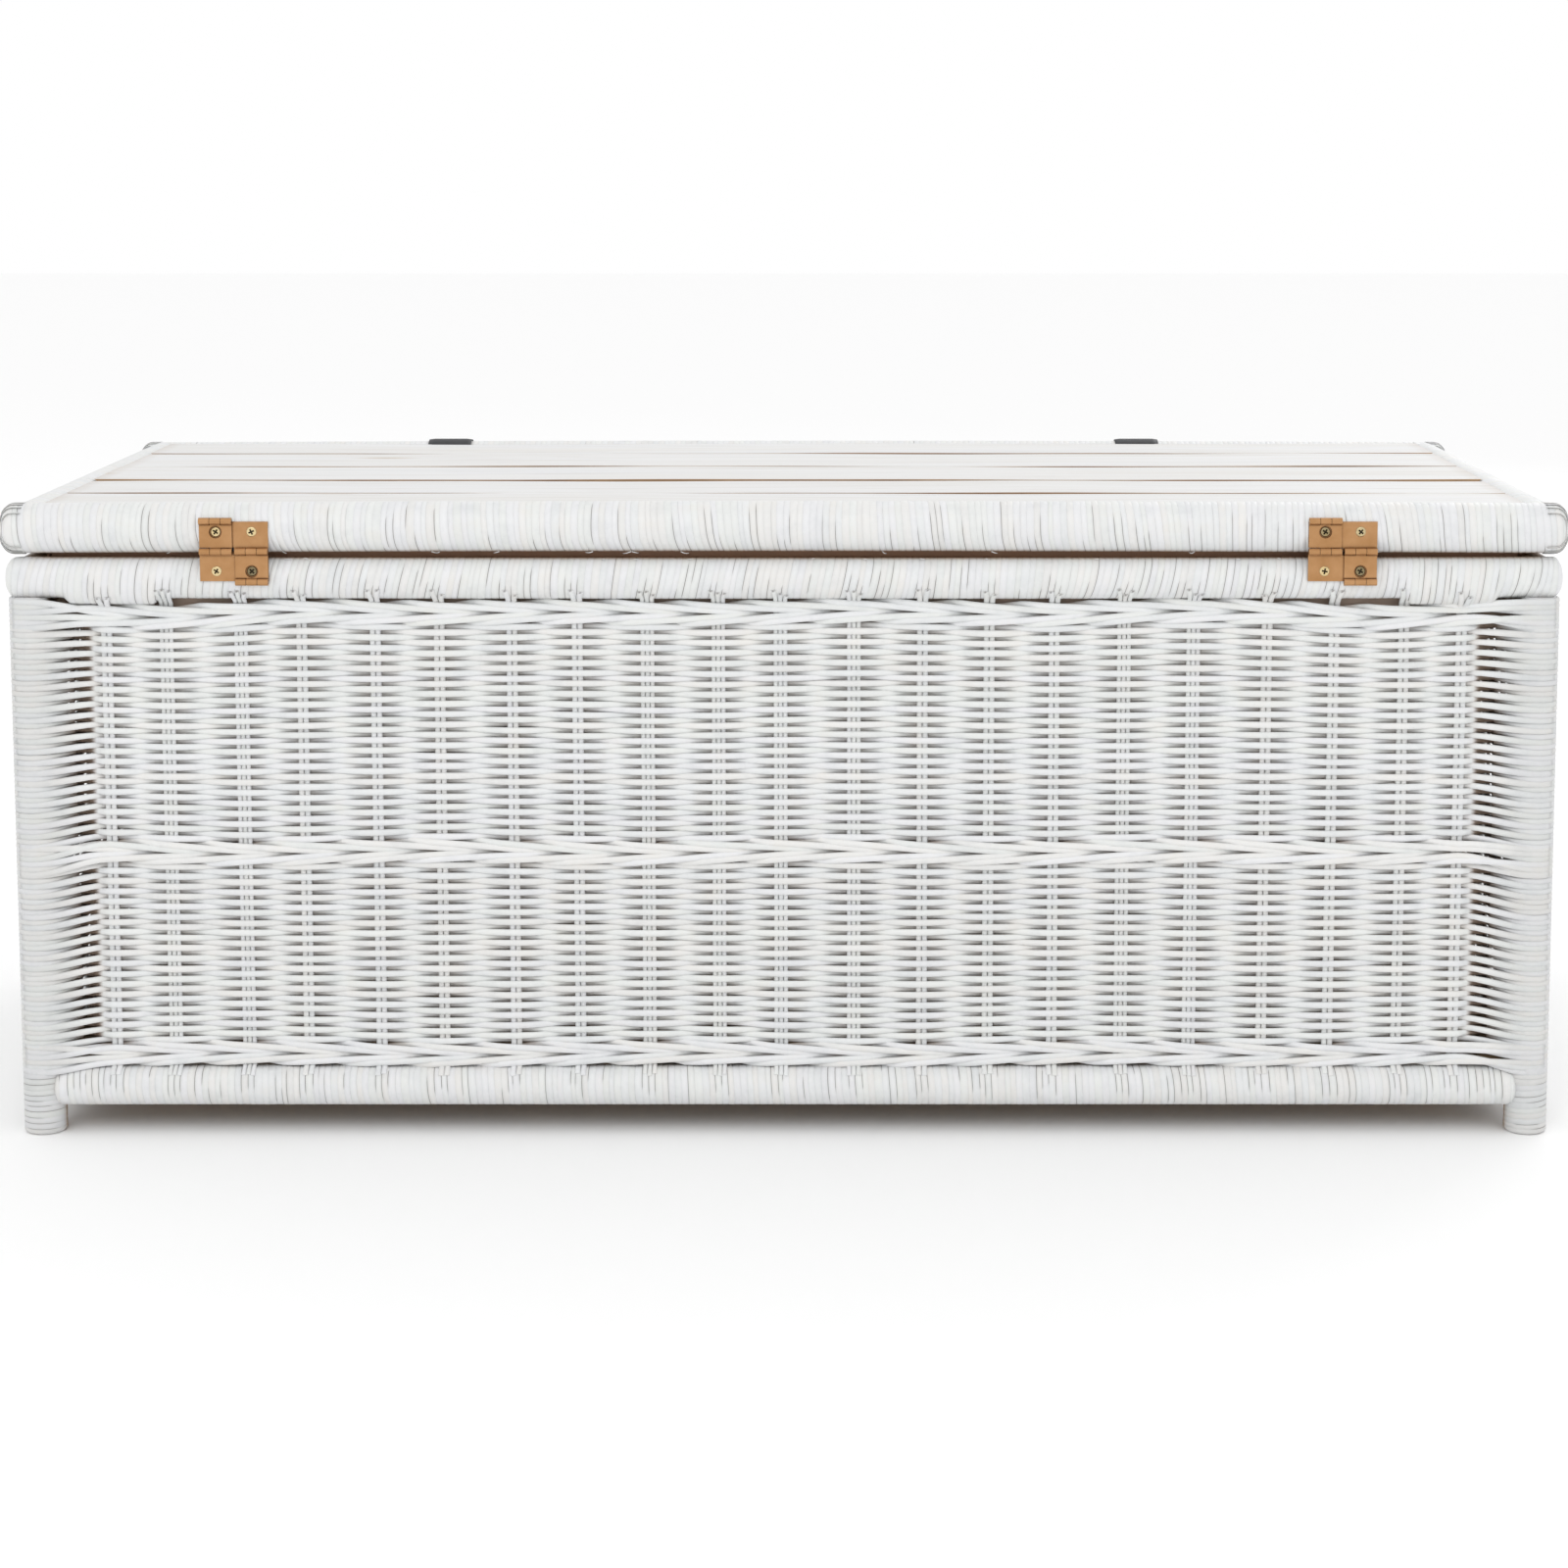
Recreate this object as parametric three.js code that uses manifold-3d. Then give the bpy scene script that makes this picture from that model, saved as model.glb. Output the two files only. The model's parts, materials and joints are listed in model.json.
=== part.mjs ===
// Wicker storage trunk: a pole frame with four woven walls, a slatted lid on two
// double-action hinges, and two leather pull straps looped round the lid's front rail.
// Millimetres, +Z up, front towards -Y, hinges at +Y, origin on the floor under the middle.

import * as THREE from 'three';
import { mergeVertices } from 'three/addons/utils/BufferGeometryUtils.js';
import Module from 'manifold-3d';

const wasm = await Module();
wasm.setup();

// ---- driving dimensions -------------------------------------------------------------

const GAP = 0.3; // clearance left between neighbouring solids
const POLE_SIDES = 20; // facets round a pole
const SMALL_SIDES = 12; // facets round pins, screws and knuckles

const LID_LENGTH = 1070;
const LID_DEPTH = 470;
const LID_RAIL_RADIUS = 17.3;
const LID_TOP = 442;
const LID_END_FILLET = 9;

const BODY_LENGTH = 1064;
const BODY_DEPTH = 468;
const TOP_RAIL_RADIUS = 14.3;
const TOP_RAIL_HEIGHT = 389.8; // centre line
const BOTTOM_RAIL_RADIUS = 13.8;
const BOTTOM_RAIL_HEIGHT = 32.6; // centre line
const RAIL_END_FILLET = 7;
const POST_RADIUS = 14.8;
const POST_TOP = 379;
const FOOT_FILLET = 2.5;

const WEAVE_THICKNESS = 10;

const FLOOR_THICKNESS = 5;
const BRACE_WIDTH = 30;
const BRACE_THICKNESS = 12;
const BRACE_OFFSET = 170; // each brace's distance from the middle

const PLANK_THICKNESS = 11.5;
const PLANK_TOP = LID_TOP - 1.5;
const PLANK_GAP = 2.6;
const PLANK_SPLITS = [-130, -32, 62, 143.5]; // middles of the gaps, front to back
const BATTEN_WIDTH = 45;
const BATTEN_THICKNESS = 12;
const BATTEN_OFFSET = 330;

const HINGE_OFFSETS = { left: -380, right: 374 }; // each hinge's middle from the trunk's middle
const HINGE_RISE = 4.2; // middle pins above the middle of the gap under the lid
const HINGE_COLUMN = 22.6; // width of one of the two columns
const HINGE_COLUMN_GAP = 1.6;
const HINGE_SHEET = 1; // sheet thickness
const HINGE_LINK_LIFT = 1.3; // back face of a link above the back face of a plate
const HINGE_PIN_SPACING = 20.8;
const HINGE_PLATE_END = 20.4; // plate edge from the middle pins
const KNUCKLE_RADIUS = 2.5;
const PIN_RADIUS = 1.2;
const PIN_HOLE_RADIUS = 1.45;
const SCREW_OFFSET = 13.5; // screw from the middle pins
const SCREW_HEAD_RADIUS = 3.4;
const SCREW_HEAD_HEIGHT = 0.9;
const SCREW_SHANK_RADIUS = 1.5;
const SCREW_LENGTH = 15;
const LINK_HOLE_RADIUS = 4.4;

const STRAP_OFFSET = 281.5; // each strap's distance from the middle
const STRAP_WIDTH = 35;
const STRAP_THICKNESS = 1.8;
const STRAP_LOOP_RADIUS = LID_RAIL_RADIUS + 0.25; // inside of the loop
const STRAP_END = 309; // lowest point of the tail
const STRAP_LAP_END = 351; // where the under layer stops
const STRAP_RIVET_HEIGHT = 363;
const STRAP_SIDES = 24;
const RIVET_RADIUS = 4.5;
const RIVET_SHANK_RADIUS = 1.8;

// ---- derived places -----------------------------------------------------------------

const LID_RAIL_X = LID_LENGTH / 2 - LID_RAIL_RADIUS;
const LID_RAIL_Y = LID_DEPTH / 2 - LID_RAIL_RADIUS;
const LID_RAIL_HEIGHT = LID_TOP - LID_RAIL_RADIUS;
const TOP_RAIL_X = BODY_LENGTH / 2 - TOP_RAIL_RADIUS;
const TOP_RAIL_Y = BODY_DEPTH / 2 - TOP_RAIL_RADIUS;
const BOTTOM_RAIL_X = BODY_LENGTH / 2 - BOTTOM_RAIL_RADIUS;
const BOTTOM_RAIL_Y = BODY_DEPTH / 2 - BOTTOM_RAIL_RADIUS;
const POST_X = BODY_LENGTH / 2 - POST_RADIUS;
const POST_Y = BODY_DEPTH / 2 - POST_RADIUS;
const WEAVE_X = (TOP_RAIL_X + BOTTOM_RAIL_X) / 2;
const WEAVE_Y = (TOP_RAIL_Y + BOTTOM_RAIL_Y) / 2;
const WEAVE_BOTTOM = BOTTOM_RAIL_HEIGHT + BOTTOM_RAIL_RADIUS + GAP;
const WEAVE_TOP = TOP_RAIL_HEIGHT - TOP_RAIL_RADIUS - GAP;
const FLOOR_BOTTOM = BOTTOM_RAIL_HEIGHT + BOTTOM_RAIL_RADIUS + 0.5;
const HINGE_BACK_Y = BODY_DEPTH / 2 + 0.4; // back face of the hinge plates
const LID_BOTTOM = LID_TOP - 2 * LID_RAIL_RADIUS;
const HINGE_HEIGHT = (LID_BOTTOM + TOP_RAIL_HEIGHT + TOP_RAIL_RADIUS) / 2 + HINGE_RISE;

// ---- materials ----------------------------------------------------------------------

const finish = (color, roughness, metalness = 0) =>
  new THREE.MeshStandardMaterial({ color, roughness, metalness });

const PEEL = [0xe6e6e3, 0.55];
const WICKER = [0xe4e4e2, 0.6];
const WHITEWASHED_WOOD = [0xe8e6e2, 0.6];
const PLAIN_WOOD = [0xb79a76, 0.7];
const BRONZE = [0xb5834a, 0.38, 0.9];
const SCREW_BRASS = [0xd8b877, 0.3, 0.95];
const LEATHER = [0x2b2c30, 0.55];

// ---- solids -------------------------------------------------------------------------

function toSolid(geometry) {
  const bare = geometry.clone();
  for (const name of Object.keys(bare.attributes)) {
    if (name !== 'position') bare.deleteAttribute(name);
  }
  const merged = mergeVertices(bare, 1e-5);
  return new wasm.Manifold(
    new wasm.Mesh({
      numProp: 3,
      vertProperties: Float32Array.from(merged.attributes.position.array),
      triVerts: Uint32Array.from(merged.index.array),
    }),
  );
}

function toGeometry(solid) {
  const { vertProperties, triVerts } = solid.getMesh();
  const geometry = new THREE.BufferGeometry();
  geometry.setAttribute('position', new THREE.BufferAttribute(vertProperties, 3));
  geometry.setIndex(new THREE.BufferAttribute(triVerts, 1));
  geometry.computeVertexNormals();
  return geometry;
}

function join(...geometries) {
  return toGeometry(geometries.map(toSolid).reduce((whole, next) => whole.add(next)));
}

function cut(geometry, ...cutters) {
  return toGeometry(cutters.map(toSolid).reduce((rest, next) => rest.subtract(next), toSolid(geometry)));
}

function common(first, second) {
  return toGeometry(toSolid(first).intersect(toSolid(second)));
}

// A mesh cut by other meshes where they stand, all three in the same group.
function copeMesh(target, cutters) {
  target.updateMatrix();
  const toTarget = target.matrix.clone().invert();
  const placed = cutters.map((cutter) => {
    cutter.updateMatrix();
    return cutter.geometry.clone().applyMatrix4(toTarget.clone().multiply(cutter.matrix));
  });
  target.geometry = cut(target.geometry, ...placed);
  return target;
}

function box(x, y, z, width, depth, height) {
  return new THREE.BoxGeometry(width, depth, height).translate(x, y, z);
}

// A round bar along Z, its middle at the origin, with its end edges rounded.
function roundBar(length, radius, fillet = 0, sides = POLE_SIDES) {
  const half = length / 2;
  const steps = fillet > 5 ? 4 : 2;
  const profile = [new THREE.Vector2(0, -half)];
  const corner = (height, side) => {
    for (let i = 0; i <= steps; i++) {
      const turn = ((side < 0 ? i : steps - i) / steps) * (Math.PI / 2);
      const out = radius - fillet + fillet * Math.sin(turn);
      profile.push(new THREE.Vector2(out, height - side * fillet * (1 - Math.cos(turn))));
    }
  };
  if (fillet > 0) {
    corner(-half, -1);
    corner(half, 1);
  } else {
    profile.push(new THREE.Vector2(radius, -half), new THREE.Vector2(radius, half));
  }
  profile.push(new THREE.Vector2(0, half));
  return new THREE.LatheGeometry(profile, sides).rotateX(Math.PI / 2);
}

const alongX = (geometry) => geometry.rotateY(Math.PI / 2);
const alongY = (geometry) => geometry.rotateX(Math.PI / 2);

function makeMesh(name, geometry, [color, roughness, metalness], x = 0, y = 0, z = 0) {
  const mesh = new THREE.Mesh(geometry, finish(color, roughness, metalness));
  mesh.name = name;
  mesh.position.set(x, y, z);
  return mesh;
}

// The same pole a little larger, used only to cut its neighbours.
function clearanceBar(turn, length, radius, x, y, z) {
  return makeMesh('clearance', turn(roundBar(length, radius + GAP)), PEEL, x, y, z);
}

// ---- body ---------------------------------------------------------------------------

const SIDES = { left: -1, right: 1 };
const ENDS = { front: -1, back: 1 };

function topRailClearances() {
  const long = Object.values(ENDS).map((end) =>
    clearanceBar(alongX, BODY_LENGTH, TOP_RAIL_RADIUS, 0, end * TOP_RAIL_Y, TOP_RAIL_HEIGHT));
  const short = Object.values(SIDES).map((side) =>
    clearanceBar(alongY, 2 * TOP_RAIL_Y, TOP_RAIL_RADIUS, side * TOP_RAIL_X, 0, TOP_RAIL_HEIGHT));
  return { long, short };
}

function postClearances() {
  const posts = [];
  for (const side of Object.values(SIDES)) {
    for (const end of Object.values(ENDS)) {
      posts.push(clearanceBar((bar) => bar, POST_TOP, POST_RADIUS, side * POST_X, end * POST_Y, POST_TOP / 2));
    }
  }
  return posts;
}

function makePosts() {
  const { long, short } = topRailClearances();
  const posts = [];
  for (const [endName, end] of Object.entries(ENDS)) {
    for (const [sideName, side] of Object.entries(SIDES)) {
      const bar = roundBar(POST_TOP, POST_RADIUS, FOOT_FILLET);
      const post = makeMesh(`post_${endName}_${sideName}`, bar, PEEL, side * POST_X, end * POST_Y, POST_TOP / 2);
      posts.push(copeMesh(post, [...long, ...short]));
    }
  }
  return posts;
}

function makeTopRails() {
  const { long } = topRailClearances();
  const rails = [];
  for (const [name, end] of Object.entries(ENDS)) {
    const bar = alongX(roundBar(BODY_LENGTH, TOP_RAIL_RADIUS, RAIL_END_FILLET));
    rails.push(makeMesh(`body_top_rail_${name}`, bar, PEEL, 0, end * TOP_RAIL_Y, TOP_RAIL_HEIGHT));
  }
  for (const [name, side] of Object.entries(SIDES)) {
    const bar = alongY(roundBar(2 * TOP_RAIL_Y, TOP_RAIL_RADIUS));
    const rail = makeMesh(`body_top_rail_${name}`, bar, PEEL, side * TOP_RAIL_X, 0, TOP_RAIL_HEIGHT);
    rails.push(copeMesh(rail, long));
  }
  return rails;
}

function makeBottomRails() {
  const posts = postClearances();
  const long = Object.values(ENDS).map((end) =>
    clearanceBar(alongX, 2 * POST_X, BOTTOM_RAIL_RADIUS, 0, end * BOTTOM_RAIL_Y, BOTTOM_RAIL_HEIGHT));
  const rails = [];
  for (const [name, end] of Object.entries(ENDS)) {
    const bar = alongX(roundBar(2 * POST_X, BOTTOM_RAIL_RADIUS));
    const rail = makeMesh(`body_bottom_rail_${name}`, bar, PEEL, 0, end * BOTTOM_RAIL_Y, BOTTOM_RAIL_HEIGHT);
    rails.push(copeMesh(rail, posts));
  }
  for (const [name, side] of Object.entries(SIDES)) {
    const bar = alongY(roundBar(2 * POST_Y, BOTTOM_RAIL_RADIUS));
    const rail = makeMesh(`body_bottom_rail_${name}`, bar, PEEL, side * BOTTOM_RAIL_X, 0, BOTTOM_RAIL_HEIGHT);
    rails.push(copeMesh(rail, [...posts, ...long]));
  }
  return rails;
}

function makeWovenPanels() {
  const height = WEAVE_TOP - WEAVE_BOTTOM;
  const middle = (WEAVE_TOP + WEAVE_BOTTOM) / 2;
  const length = 2 * (POST_X - POST_RADIUS - GAP);
  const depth = 2 * (POST_Y - POST_RADIUS - GAP);
  const panels = [];
  for (const [name, end] of Object.entries(ENDS)) {
    const slab = box(0, 0, 0, length, WEAVE_THICKNESS, height);
    panels.push(makeMesh(`woven_panel_${name}`, slab, WICKER, 0, end * WEAVE_Y, middle));
  }
  for (const [name, side] of Object.entries(SIDES)) {
    const slab = box(0, 0, 0, WEAVE_THICKNESS, depth, height);
    panels.push(makeMesh(`woven_panel_${name}`, slab, WICKER, side * WEAVE_X, 0, middle));
  }
  return panels;
}

function makeFloor() {
  const length = 2 * (WEAVE_X - WEAVE_THICKNESS / 2 - GAP);
  const depth = 2 * (WEAVE_Y - WEAVE_THICKNESS / 2 - GAP);
  const board = box(0, 0, 0, length, depth, FLOOR_THICKNESS);
  const floor = makeMesh('floor_panel', board, PLAIN_WOOD, 0, 0, FLOOR_BOTTOM + FLOOR_THICKNESS / 2);
  const pieces = [copeMesh(floor, postClearances())];
  const braceLength = 2 * (BOTTOM_RAIL_Y - BOTTOM_RAIL_RADIUS - GAP);
  const braceHeight = FLOOR_BOTTOM - GAP - BRACE_THICKNESS / 2;
  for (const [name, side] of Object.entries(SIDES)) {
    const slat = box(0, 0, 0, BRACE_WIDTH, braceLength, BRACE_THICKNESS);
    pieces.push(makeMesh(`floor_brace_${name}`, slat, PLAIN_WOOD, side * BRACE_OFFSET, 0, braceHeight));
  }
  return pieces;
}

// ---- lid ----------------------------------------------------------------------------

function lidRailClearances() {
  const long = Object.values(ENDS).map((end) =>
    clearanceBar(alongX, LID_LENGTH, LID_RAIL_RADIUS, 0, end * LID_RAIL_Y, LID_RAIL_HEIGHT));
  const short = Object.values(SIDES).map((side) =>
    clearanceBar(alongY, 2 * LID_RAIL_Y, LID_RAIL_RADIUS, side * LID_RAIL_X, 0, LID_RAIL_HEIGHT));
  return { long, short };
}

function makeLidRails() {
  const { long } = lidRailClearances();
  const rails = [];
  for (const [name, end] of Object.entries(ENDS)) {
    const bar = alongX(roundBar(LID_LENGTH, LID_RAIL_RADIUS, LID_END_FILLET));
    rails.push(makeMesh(`lid_rail_${name}`, bar, PEEL, 0, end * LID_RAIL_Y, LID_RAIL_HEIGHT));
  }
  for (const [name, side] of Object.entries(SIDES)) {
    const bar = alongY(roundBar(2 * LID_RAIL_Y, LID_RAIL_RADIUS));
    const rail = makeMesh(`lid_rail_${name}`, bar, PEEL, side * LID_RAIL_X, 0, LID_RAIL_HEIGHT);
    rails.push(copeMesh(rail, long));
  }
  return rails;
}

// Room for the strap loops where they pass between the front rail and the front plank.
function strapNotches() {
  const radius = STRAP_LOOP_RADIUS + STRAP_THICKNESS + GAP;
  return Object.values(SIDES).map((side) =>
    clearanceBar(alongX, STRAP_WIDTH + 3, radius, side * STRAP_OFFSET, -LID_RAIL_Y, LID_RAIL_HEIGHT));
}

function makePlanks() {
  const { long, short } = lidRailClearances();
  const edges = [-LID_RAIL_Y - PLANK_GAP / 2, ...PLANK_SPLITS, LID_RAIL_Y + PLANK_GAP / 2];
  const planks = [];
  for (let i = 0; i + 1 < edges.length; i++) {
    const width = edges[i + 1] - edges[i] - PLANK_GAP;
    const middle = (edges[i + 1] + edges[i]) / 2;
    const board = box(0, 0, 0, 2 * LID_RAIL_X, width, PLANK_THICKNESS);
    const plank = makeMesh(`lid_plank_${i + 1}`, board, WHITEWASHED_WOOD, 0, middle, PLANK_TOP - PLANK_THICKNESS / 2);
    const notches = i === 0 ? strapNotches() : [];
    planks.push(copeMesh(plank, [...long, ...short, ...notches]));
  }
  return planks;
}

function makeBattens() {
  const length = 2 * (LID_RAIL_Y - LID_RAIL_RADIUS - GAP);
  const height = PLANK_TOP - PLANK_THICKNESS - GAP - BATTEN_THICKNESS / 2;
  return Object.entries({ left: -1, middle: 0, right: 1 }).map(([name, side]) => {
    const slat = box(0, 0, 0, BATTEN_WIDTH, length, BATTEN_THICKNESS);
    return makeMesh(`lid_batten_${name}`, slat, PLAIN_WOOD, side * BATTEN_OFFSET, 0, height);
  });
}

// ---- hinges -------------------------------------------------------------------------
// In a hinge's own frame the middle pins lie on the X axis and the plates' back faces lie
// at y = -KNUCKLE_RADIUS. The column at +x has its link on the lid, the other on the body.

const SEGMENT = HINGE_COLUMN / 3;

// One knuckle segment, counted 0 to 2 across the column whose middle is columnX.
function knuckle(columnX, segment, z, extra = 0) {
  const length = SEGMENT - GAP + 2 * extra;
  const x = columnX + (segment - 1) * SEGMENT;
  return alongX(roundBar(length, KNUCKLE_RADIUS + extra, 0, SMALL_SIDES)).translate(x, 0, z);
}

function pinHole(columnX, z) {
  return alongX(roundBar(2 * HINGE_COLUMN, PIN_HOLE_RADIUS, 0, SMALL_SIDES)).translate(columnX, 0, z);
}

// A wide plate: up is 1 for the lid's plate and -1 for the body's.
function hingePlate(up, farColumn, nearColumn) {
  const width = 2 * HINGE_COLUMN + HINGE_COLUMN_GAP;
  const root = GAP;
  const height = HINGE_PLATE_END - root;
  const back = -KNUCKLE_RADIUS + HINGE_SHEET / 2;
  const sheet = box(0, back, up * (root + height / 2), width, HINGE_SHEET, height);
  const clear = 0.3;
  const blocked = box(farColumn, back, 0, HINGE_COLUMN + HINGE_COLUMN_GAP, 2 * HINGE_SHEET, 2 * (KNUCKLE_RADIUS + clear));
  const bare = cut(
    sheet,
    blocked,
    knuckle(nearColumn, 1, 0, clear),
    knuckle(farColumn, 1, up * HINGE_PIN_SPACING, clear),
  );
  const whole = join(
    bare,
    knuckle(nearColumn, 0, 0),
    knuckle(nearColumn, 2, 0),
    knuckle(farColumn, 0, up * HINGE_PIN_SPACING),
    knuckle(farColumn, 2, up * HINGE_PIN_SPACING),
  );
  const holes = [nearColumn, farColumn].map((x) =>
    alongY(roundBar(12, SCREW_SHANK_RADIUS + GAP, 0, SMALL_SIDES)).translate(x, -KNUCKLE_RADIUS, up * SCREW_OFFSET));
  return cut(whole, pinHole(nearColumn, 0), pinHole(farColumn, up * HINGE_PIN_SPACING), ...holes);
}

// The link of one column, from the middle pin to its far pin.
function hingeLink(up, column) {
  const clear = 0.3;
  const y = -KNUCKLE_RADIUS + HINGE_LINK_LIFT + HINGE_SHEET / 2;
  const sheet = box(column, y, (up * HINGE_PIN_SPACING) / 2, HINGE_COLUMN - GAP, HINGE_SHEET, HINGE_PIN_SPACING);
  const corners = [0, up * HINGE_PIN_SPACING].flatMap((z) =>
    [0, 2].map((segment) => knuckle(column, segment, z, clear)));
  const whole = join(
    cut(sheet, ...corners),
    knuckle(column, 1, 0),
    knuckle(column, 1, up * HINGE_PIN_SPACING),
  );
  const window_ = alongY(roundBar(12, LINK_HOLE_RADIUS, 0, 16)).translate(column, 0, up * SCREW_OFFSET);
  return cut(whole, pinHole(column, 0), pinHole(column, up * HINGE_PIN_SPACING), window_);
}

function hingePin() {
  return alongX(roundBar(HINGE_COLUMN - GAP, PIN_RADIUS, 0.3, SMALL_SIDES));
}

// A pan-head wood screw pointing along -y, its head resting on y = 0.
function woodScrew() {
  const profile = [
    [0, -SCREW_LENGTH],
    [SCREW_SHANK_RADIUS * 0.5, -SCREW_LENGTH + 2],
    [SCREW_SHANK_RADIUS, -SCREW_LENGTH + 4],
    [SCREW_SHANK_RADIUS, 0],
    [SCREW_HEAD_RADIUS, 0],
    [SCREW_HEAD_RADIUS * 0.9, SCREW_HEAD_HEIGHT * 0.6],
    [SCREW_HEAD_RADIUS * 0.5, SCREW_HEAD_HEIGHT],
    [0, SCREW_HEAD_HEIGHT],
  ].map(([x, y]) => new THREE.Vector2(x, y));
  return new THREE.LatheGeometry(profile, SMALL_SIDES);
}

const HINGE_COLUMN_X = (HINGE_COLUMN + HINGE_COLUMN_GAP) / 2;

// Screw places in a hinge's frame, in the order of their node names.
function screwPlaces() {
  return [
    [HINGE_COLUMN_X, SCREW_OFFSET],
    [-HINGE_COLUMN_X, SCREW_OFFSET],
    [HINGE_COLUMN_X, -SCREW_OFFSET],
    [-HINGE_COLUMN_X, -SCREW_OFFSET],
  ];
}

function makeHinge(name, x) {
  const hinge = new THREE.Group();
  hinge.position.set(x, HINGE_BACK_Y + KNUCKLE_RADIUS, HINGE_HEIGHT);
  const linked = HINGE_COLUMN_X;
  const plain = -HINGE_COLUMN_X;
  hinge.add(makeMesh(`${name}_upper_plate`, hingePlate(1, linked, plain), BRONZE));
  hinge.add(makeMesh(`${name}_lower_plate`, hingePlate(-1, plain, linked), BRONZE));
  hinge.add(makeMesh(`${name}_upper_link`, hingeLink(1, linked), BRONZE));
  hinge.add(makeMesh(`${name}_lower_link`, hingeLink(-1, plain), BRONZE));
  const pins = {
    a: [linked, HINGE_PIN_SPACING],
    b: [linked, 0],
    c: [plain, 0],
    d: [plain, -HINGE_PIN_SPACING],
  };
  for (const [letter, [pinX, pinZ]] of Object.entries(pins)) {
    hinge.add(makeMesh(`${name}_pin_${letter}`, hingePin(), BRONZE, pinX, 0, pinZ));
  }
  const seat = -KNUCKLE_RADIUS + HINGE_SHEET + 0.05;
  screwPlaces().forEach(([screwX, screwZ], i) => {
    hinge.add(makeMesh(`${name}_screw_${i + 1}`, woodScrew(), SCREW_BRASS, screwX, seat, screwZ));
  });
  return hinge;
}

// The seat of a hinge's upper plate and the pilot holes of its screws, to cut from the rails.
function hingeCutters(x) {
  const width = 2 * HINGE_COLUMN + HINGE_COLUMN_GAP + 2 * GAP;
  const height = HINGE_PLATE_END + KNUCKLE_RADIUS + 2 * GAP;
  const depth = 6;
  const seat = makeMesh('seat', box(0, depth / 2, height / 2, width, depth, height), PEEL,
    x, HINGE_BACK_Y - GAP, HINGE_HEIGHT);
  const pilots = screwPlaces().map(([screwX, screwZ]) => {
    const hole = alongY(roundBar(SCREW_LENGTH + 6, SCREW_SHANK_RADIUS + GAP, 0, SMALL_SIDES));
    return makeMesh('pilot', hole, PEEL, x + screwX, HINGE_BACK_Y + 3 - SCREW_LENGTH / 2, HINGE_HEIGHT + screwZ);
  });
  return [seat, ...pilots];
}

// ---- straps -------------------------------------------------------------------------
// In a strap's own frame the lid rail's centre line is the X axis.

function strapBand() {
  const outer = STRAP_LOOP_RADIUS + STRAP_THICKNESS;
  const ring = cut(
    alongX(roundBar(STRAP_WIDTH, outer, 0, STRAP_SIDES)),
    alongX(roundBar(STRAP_WIDTH + 2, STRAP_LOOP_RADIUS, 0, STRAP_SIDES)),
  );
  const front = -outer - 0.3;
  const tailTop = 2;
  const tailEnd = STRAP_END - LID_RAIL_HEIGHT;
  const lapTop = -8;
  const lapEnd = STRAP_LAP_END - LID_RAIL_HEIGHT;
  const lapBack = -BODY_DEPTH / 2 - GAP + LID_RAIL_Y;
  const tail = box(0, front + 1, (tailTop + tailEnd) / 2, STRAP_WIDTH, 2, tailTop - tailEnd);
  const lap = box(0, (front + 1 + lapBack) / 2, (lapTop + lapEnd) / 2, STRAP_WIDTH,
    lapBack - front - 1, lapTop - lapEnd);
  const rail = alongX(roundBar(STRAP_WIDTH + 2, STRAP_LOOP_RADIUS, 0, STRAP_SIDES));
  return join(ring, cut(join(tail, lap), rail));
}

// The strap's face outline: straight sides and a round lower end.
function strapOutline() {
  const half = STRAP_WIDTH / 2;
  const top = STRAP_LOOP_RADIUS + STRAP_THICKNESS + 1;
  const bottom = STRAP_END - LID_RAIL_HEIGHT;
  const shape = new THREE.Shape();
  shape.moveTo(-half, top);
  shape.lineTo(-half, bottom + half);
  shape.absarc(0, bottom + half, half, Math.PI, 2 * Math.PI, false);
  shape.lineTo(half, top);
  const depth = 80;
  return new THREE.ExtrudeGeometry(shape, { depth, bevelEnabled: false, curveSegments: 14 })
    .rotateX(Math.PI / 2)
    .translate(0, depth / 2, 0);
}

function makeStrap(name, x) {
  const group = new THREE.Group();
  group.position.set(x, -LID_RAIL_Y, LID_RAIL_HEIGHT);
  const rivetZ = STRAP_RIVET_HEIGHT - LID_RAIL_HEIGHT;
  const hole = alongY(roundBar(20, RIVET_SHANK_RADIUS + GAP, 0, SMALL_SIDES))
    .translate(0, -LID_RAIL_RADIUS, rivetZ);
  const band = cut(common(strapBand(), strapOutline()), hole);
  group.add(makeMesh(name, band, LEATHER));
  group.add(makeMesh(`${name}_rivet`, strapRivet(), SCREW_BRASS, 0, 0, rivetZ));
  return group;
}

// A two-headed rivet along Y through the doubled leather.
function strapRivet() {
  const front = LID_RAIL_Y - BODY_DEPTH / 2 - GAP;
  const face = STRAP_LOOP_RADIUS + STRAP_THICKNESS + 0.3 + 0.2;
  const back = -front - 0.1;
  const profile = [
    [0, back - 1],
    [RIVET_RADIUS * 0.8, back - 1],
    [RIVET_RADIUS * 0.8, back],
    [RIVET_SHANK_RADIUS, back],
    [RIVET_SHANK_RADIUS, face],
    [RIVET_RADIUS, face],
    [RIVET_RADIUS * 0.85, face + 0.7],
    [RIVET_RADIUS * 0.45, face + 1.1],
    [0, face + 1.2],
  ].map(([x, y]) => new THREE.Vector2(x, y));
  return new THREE.LatheGeometry(profile, SMALL_SIDES).rotateX(Math.PI);
}

// ---- assembly -----------------------------------------------------------------------

const trunk = new THREE.Group();
const hingeTools = Object.values(HINGE_OFFSETS).flatMap(hingeCutters);

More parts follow.
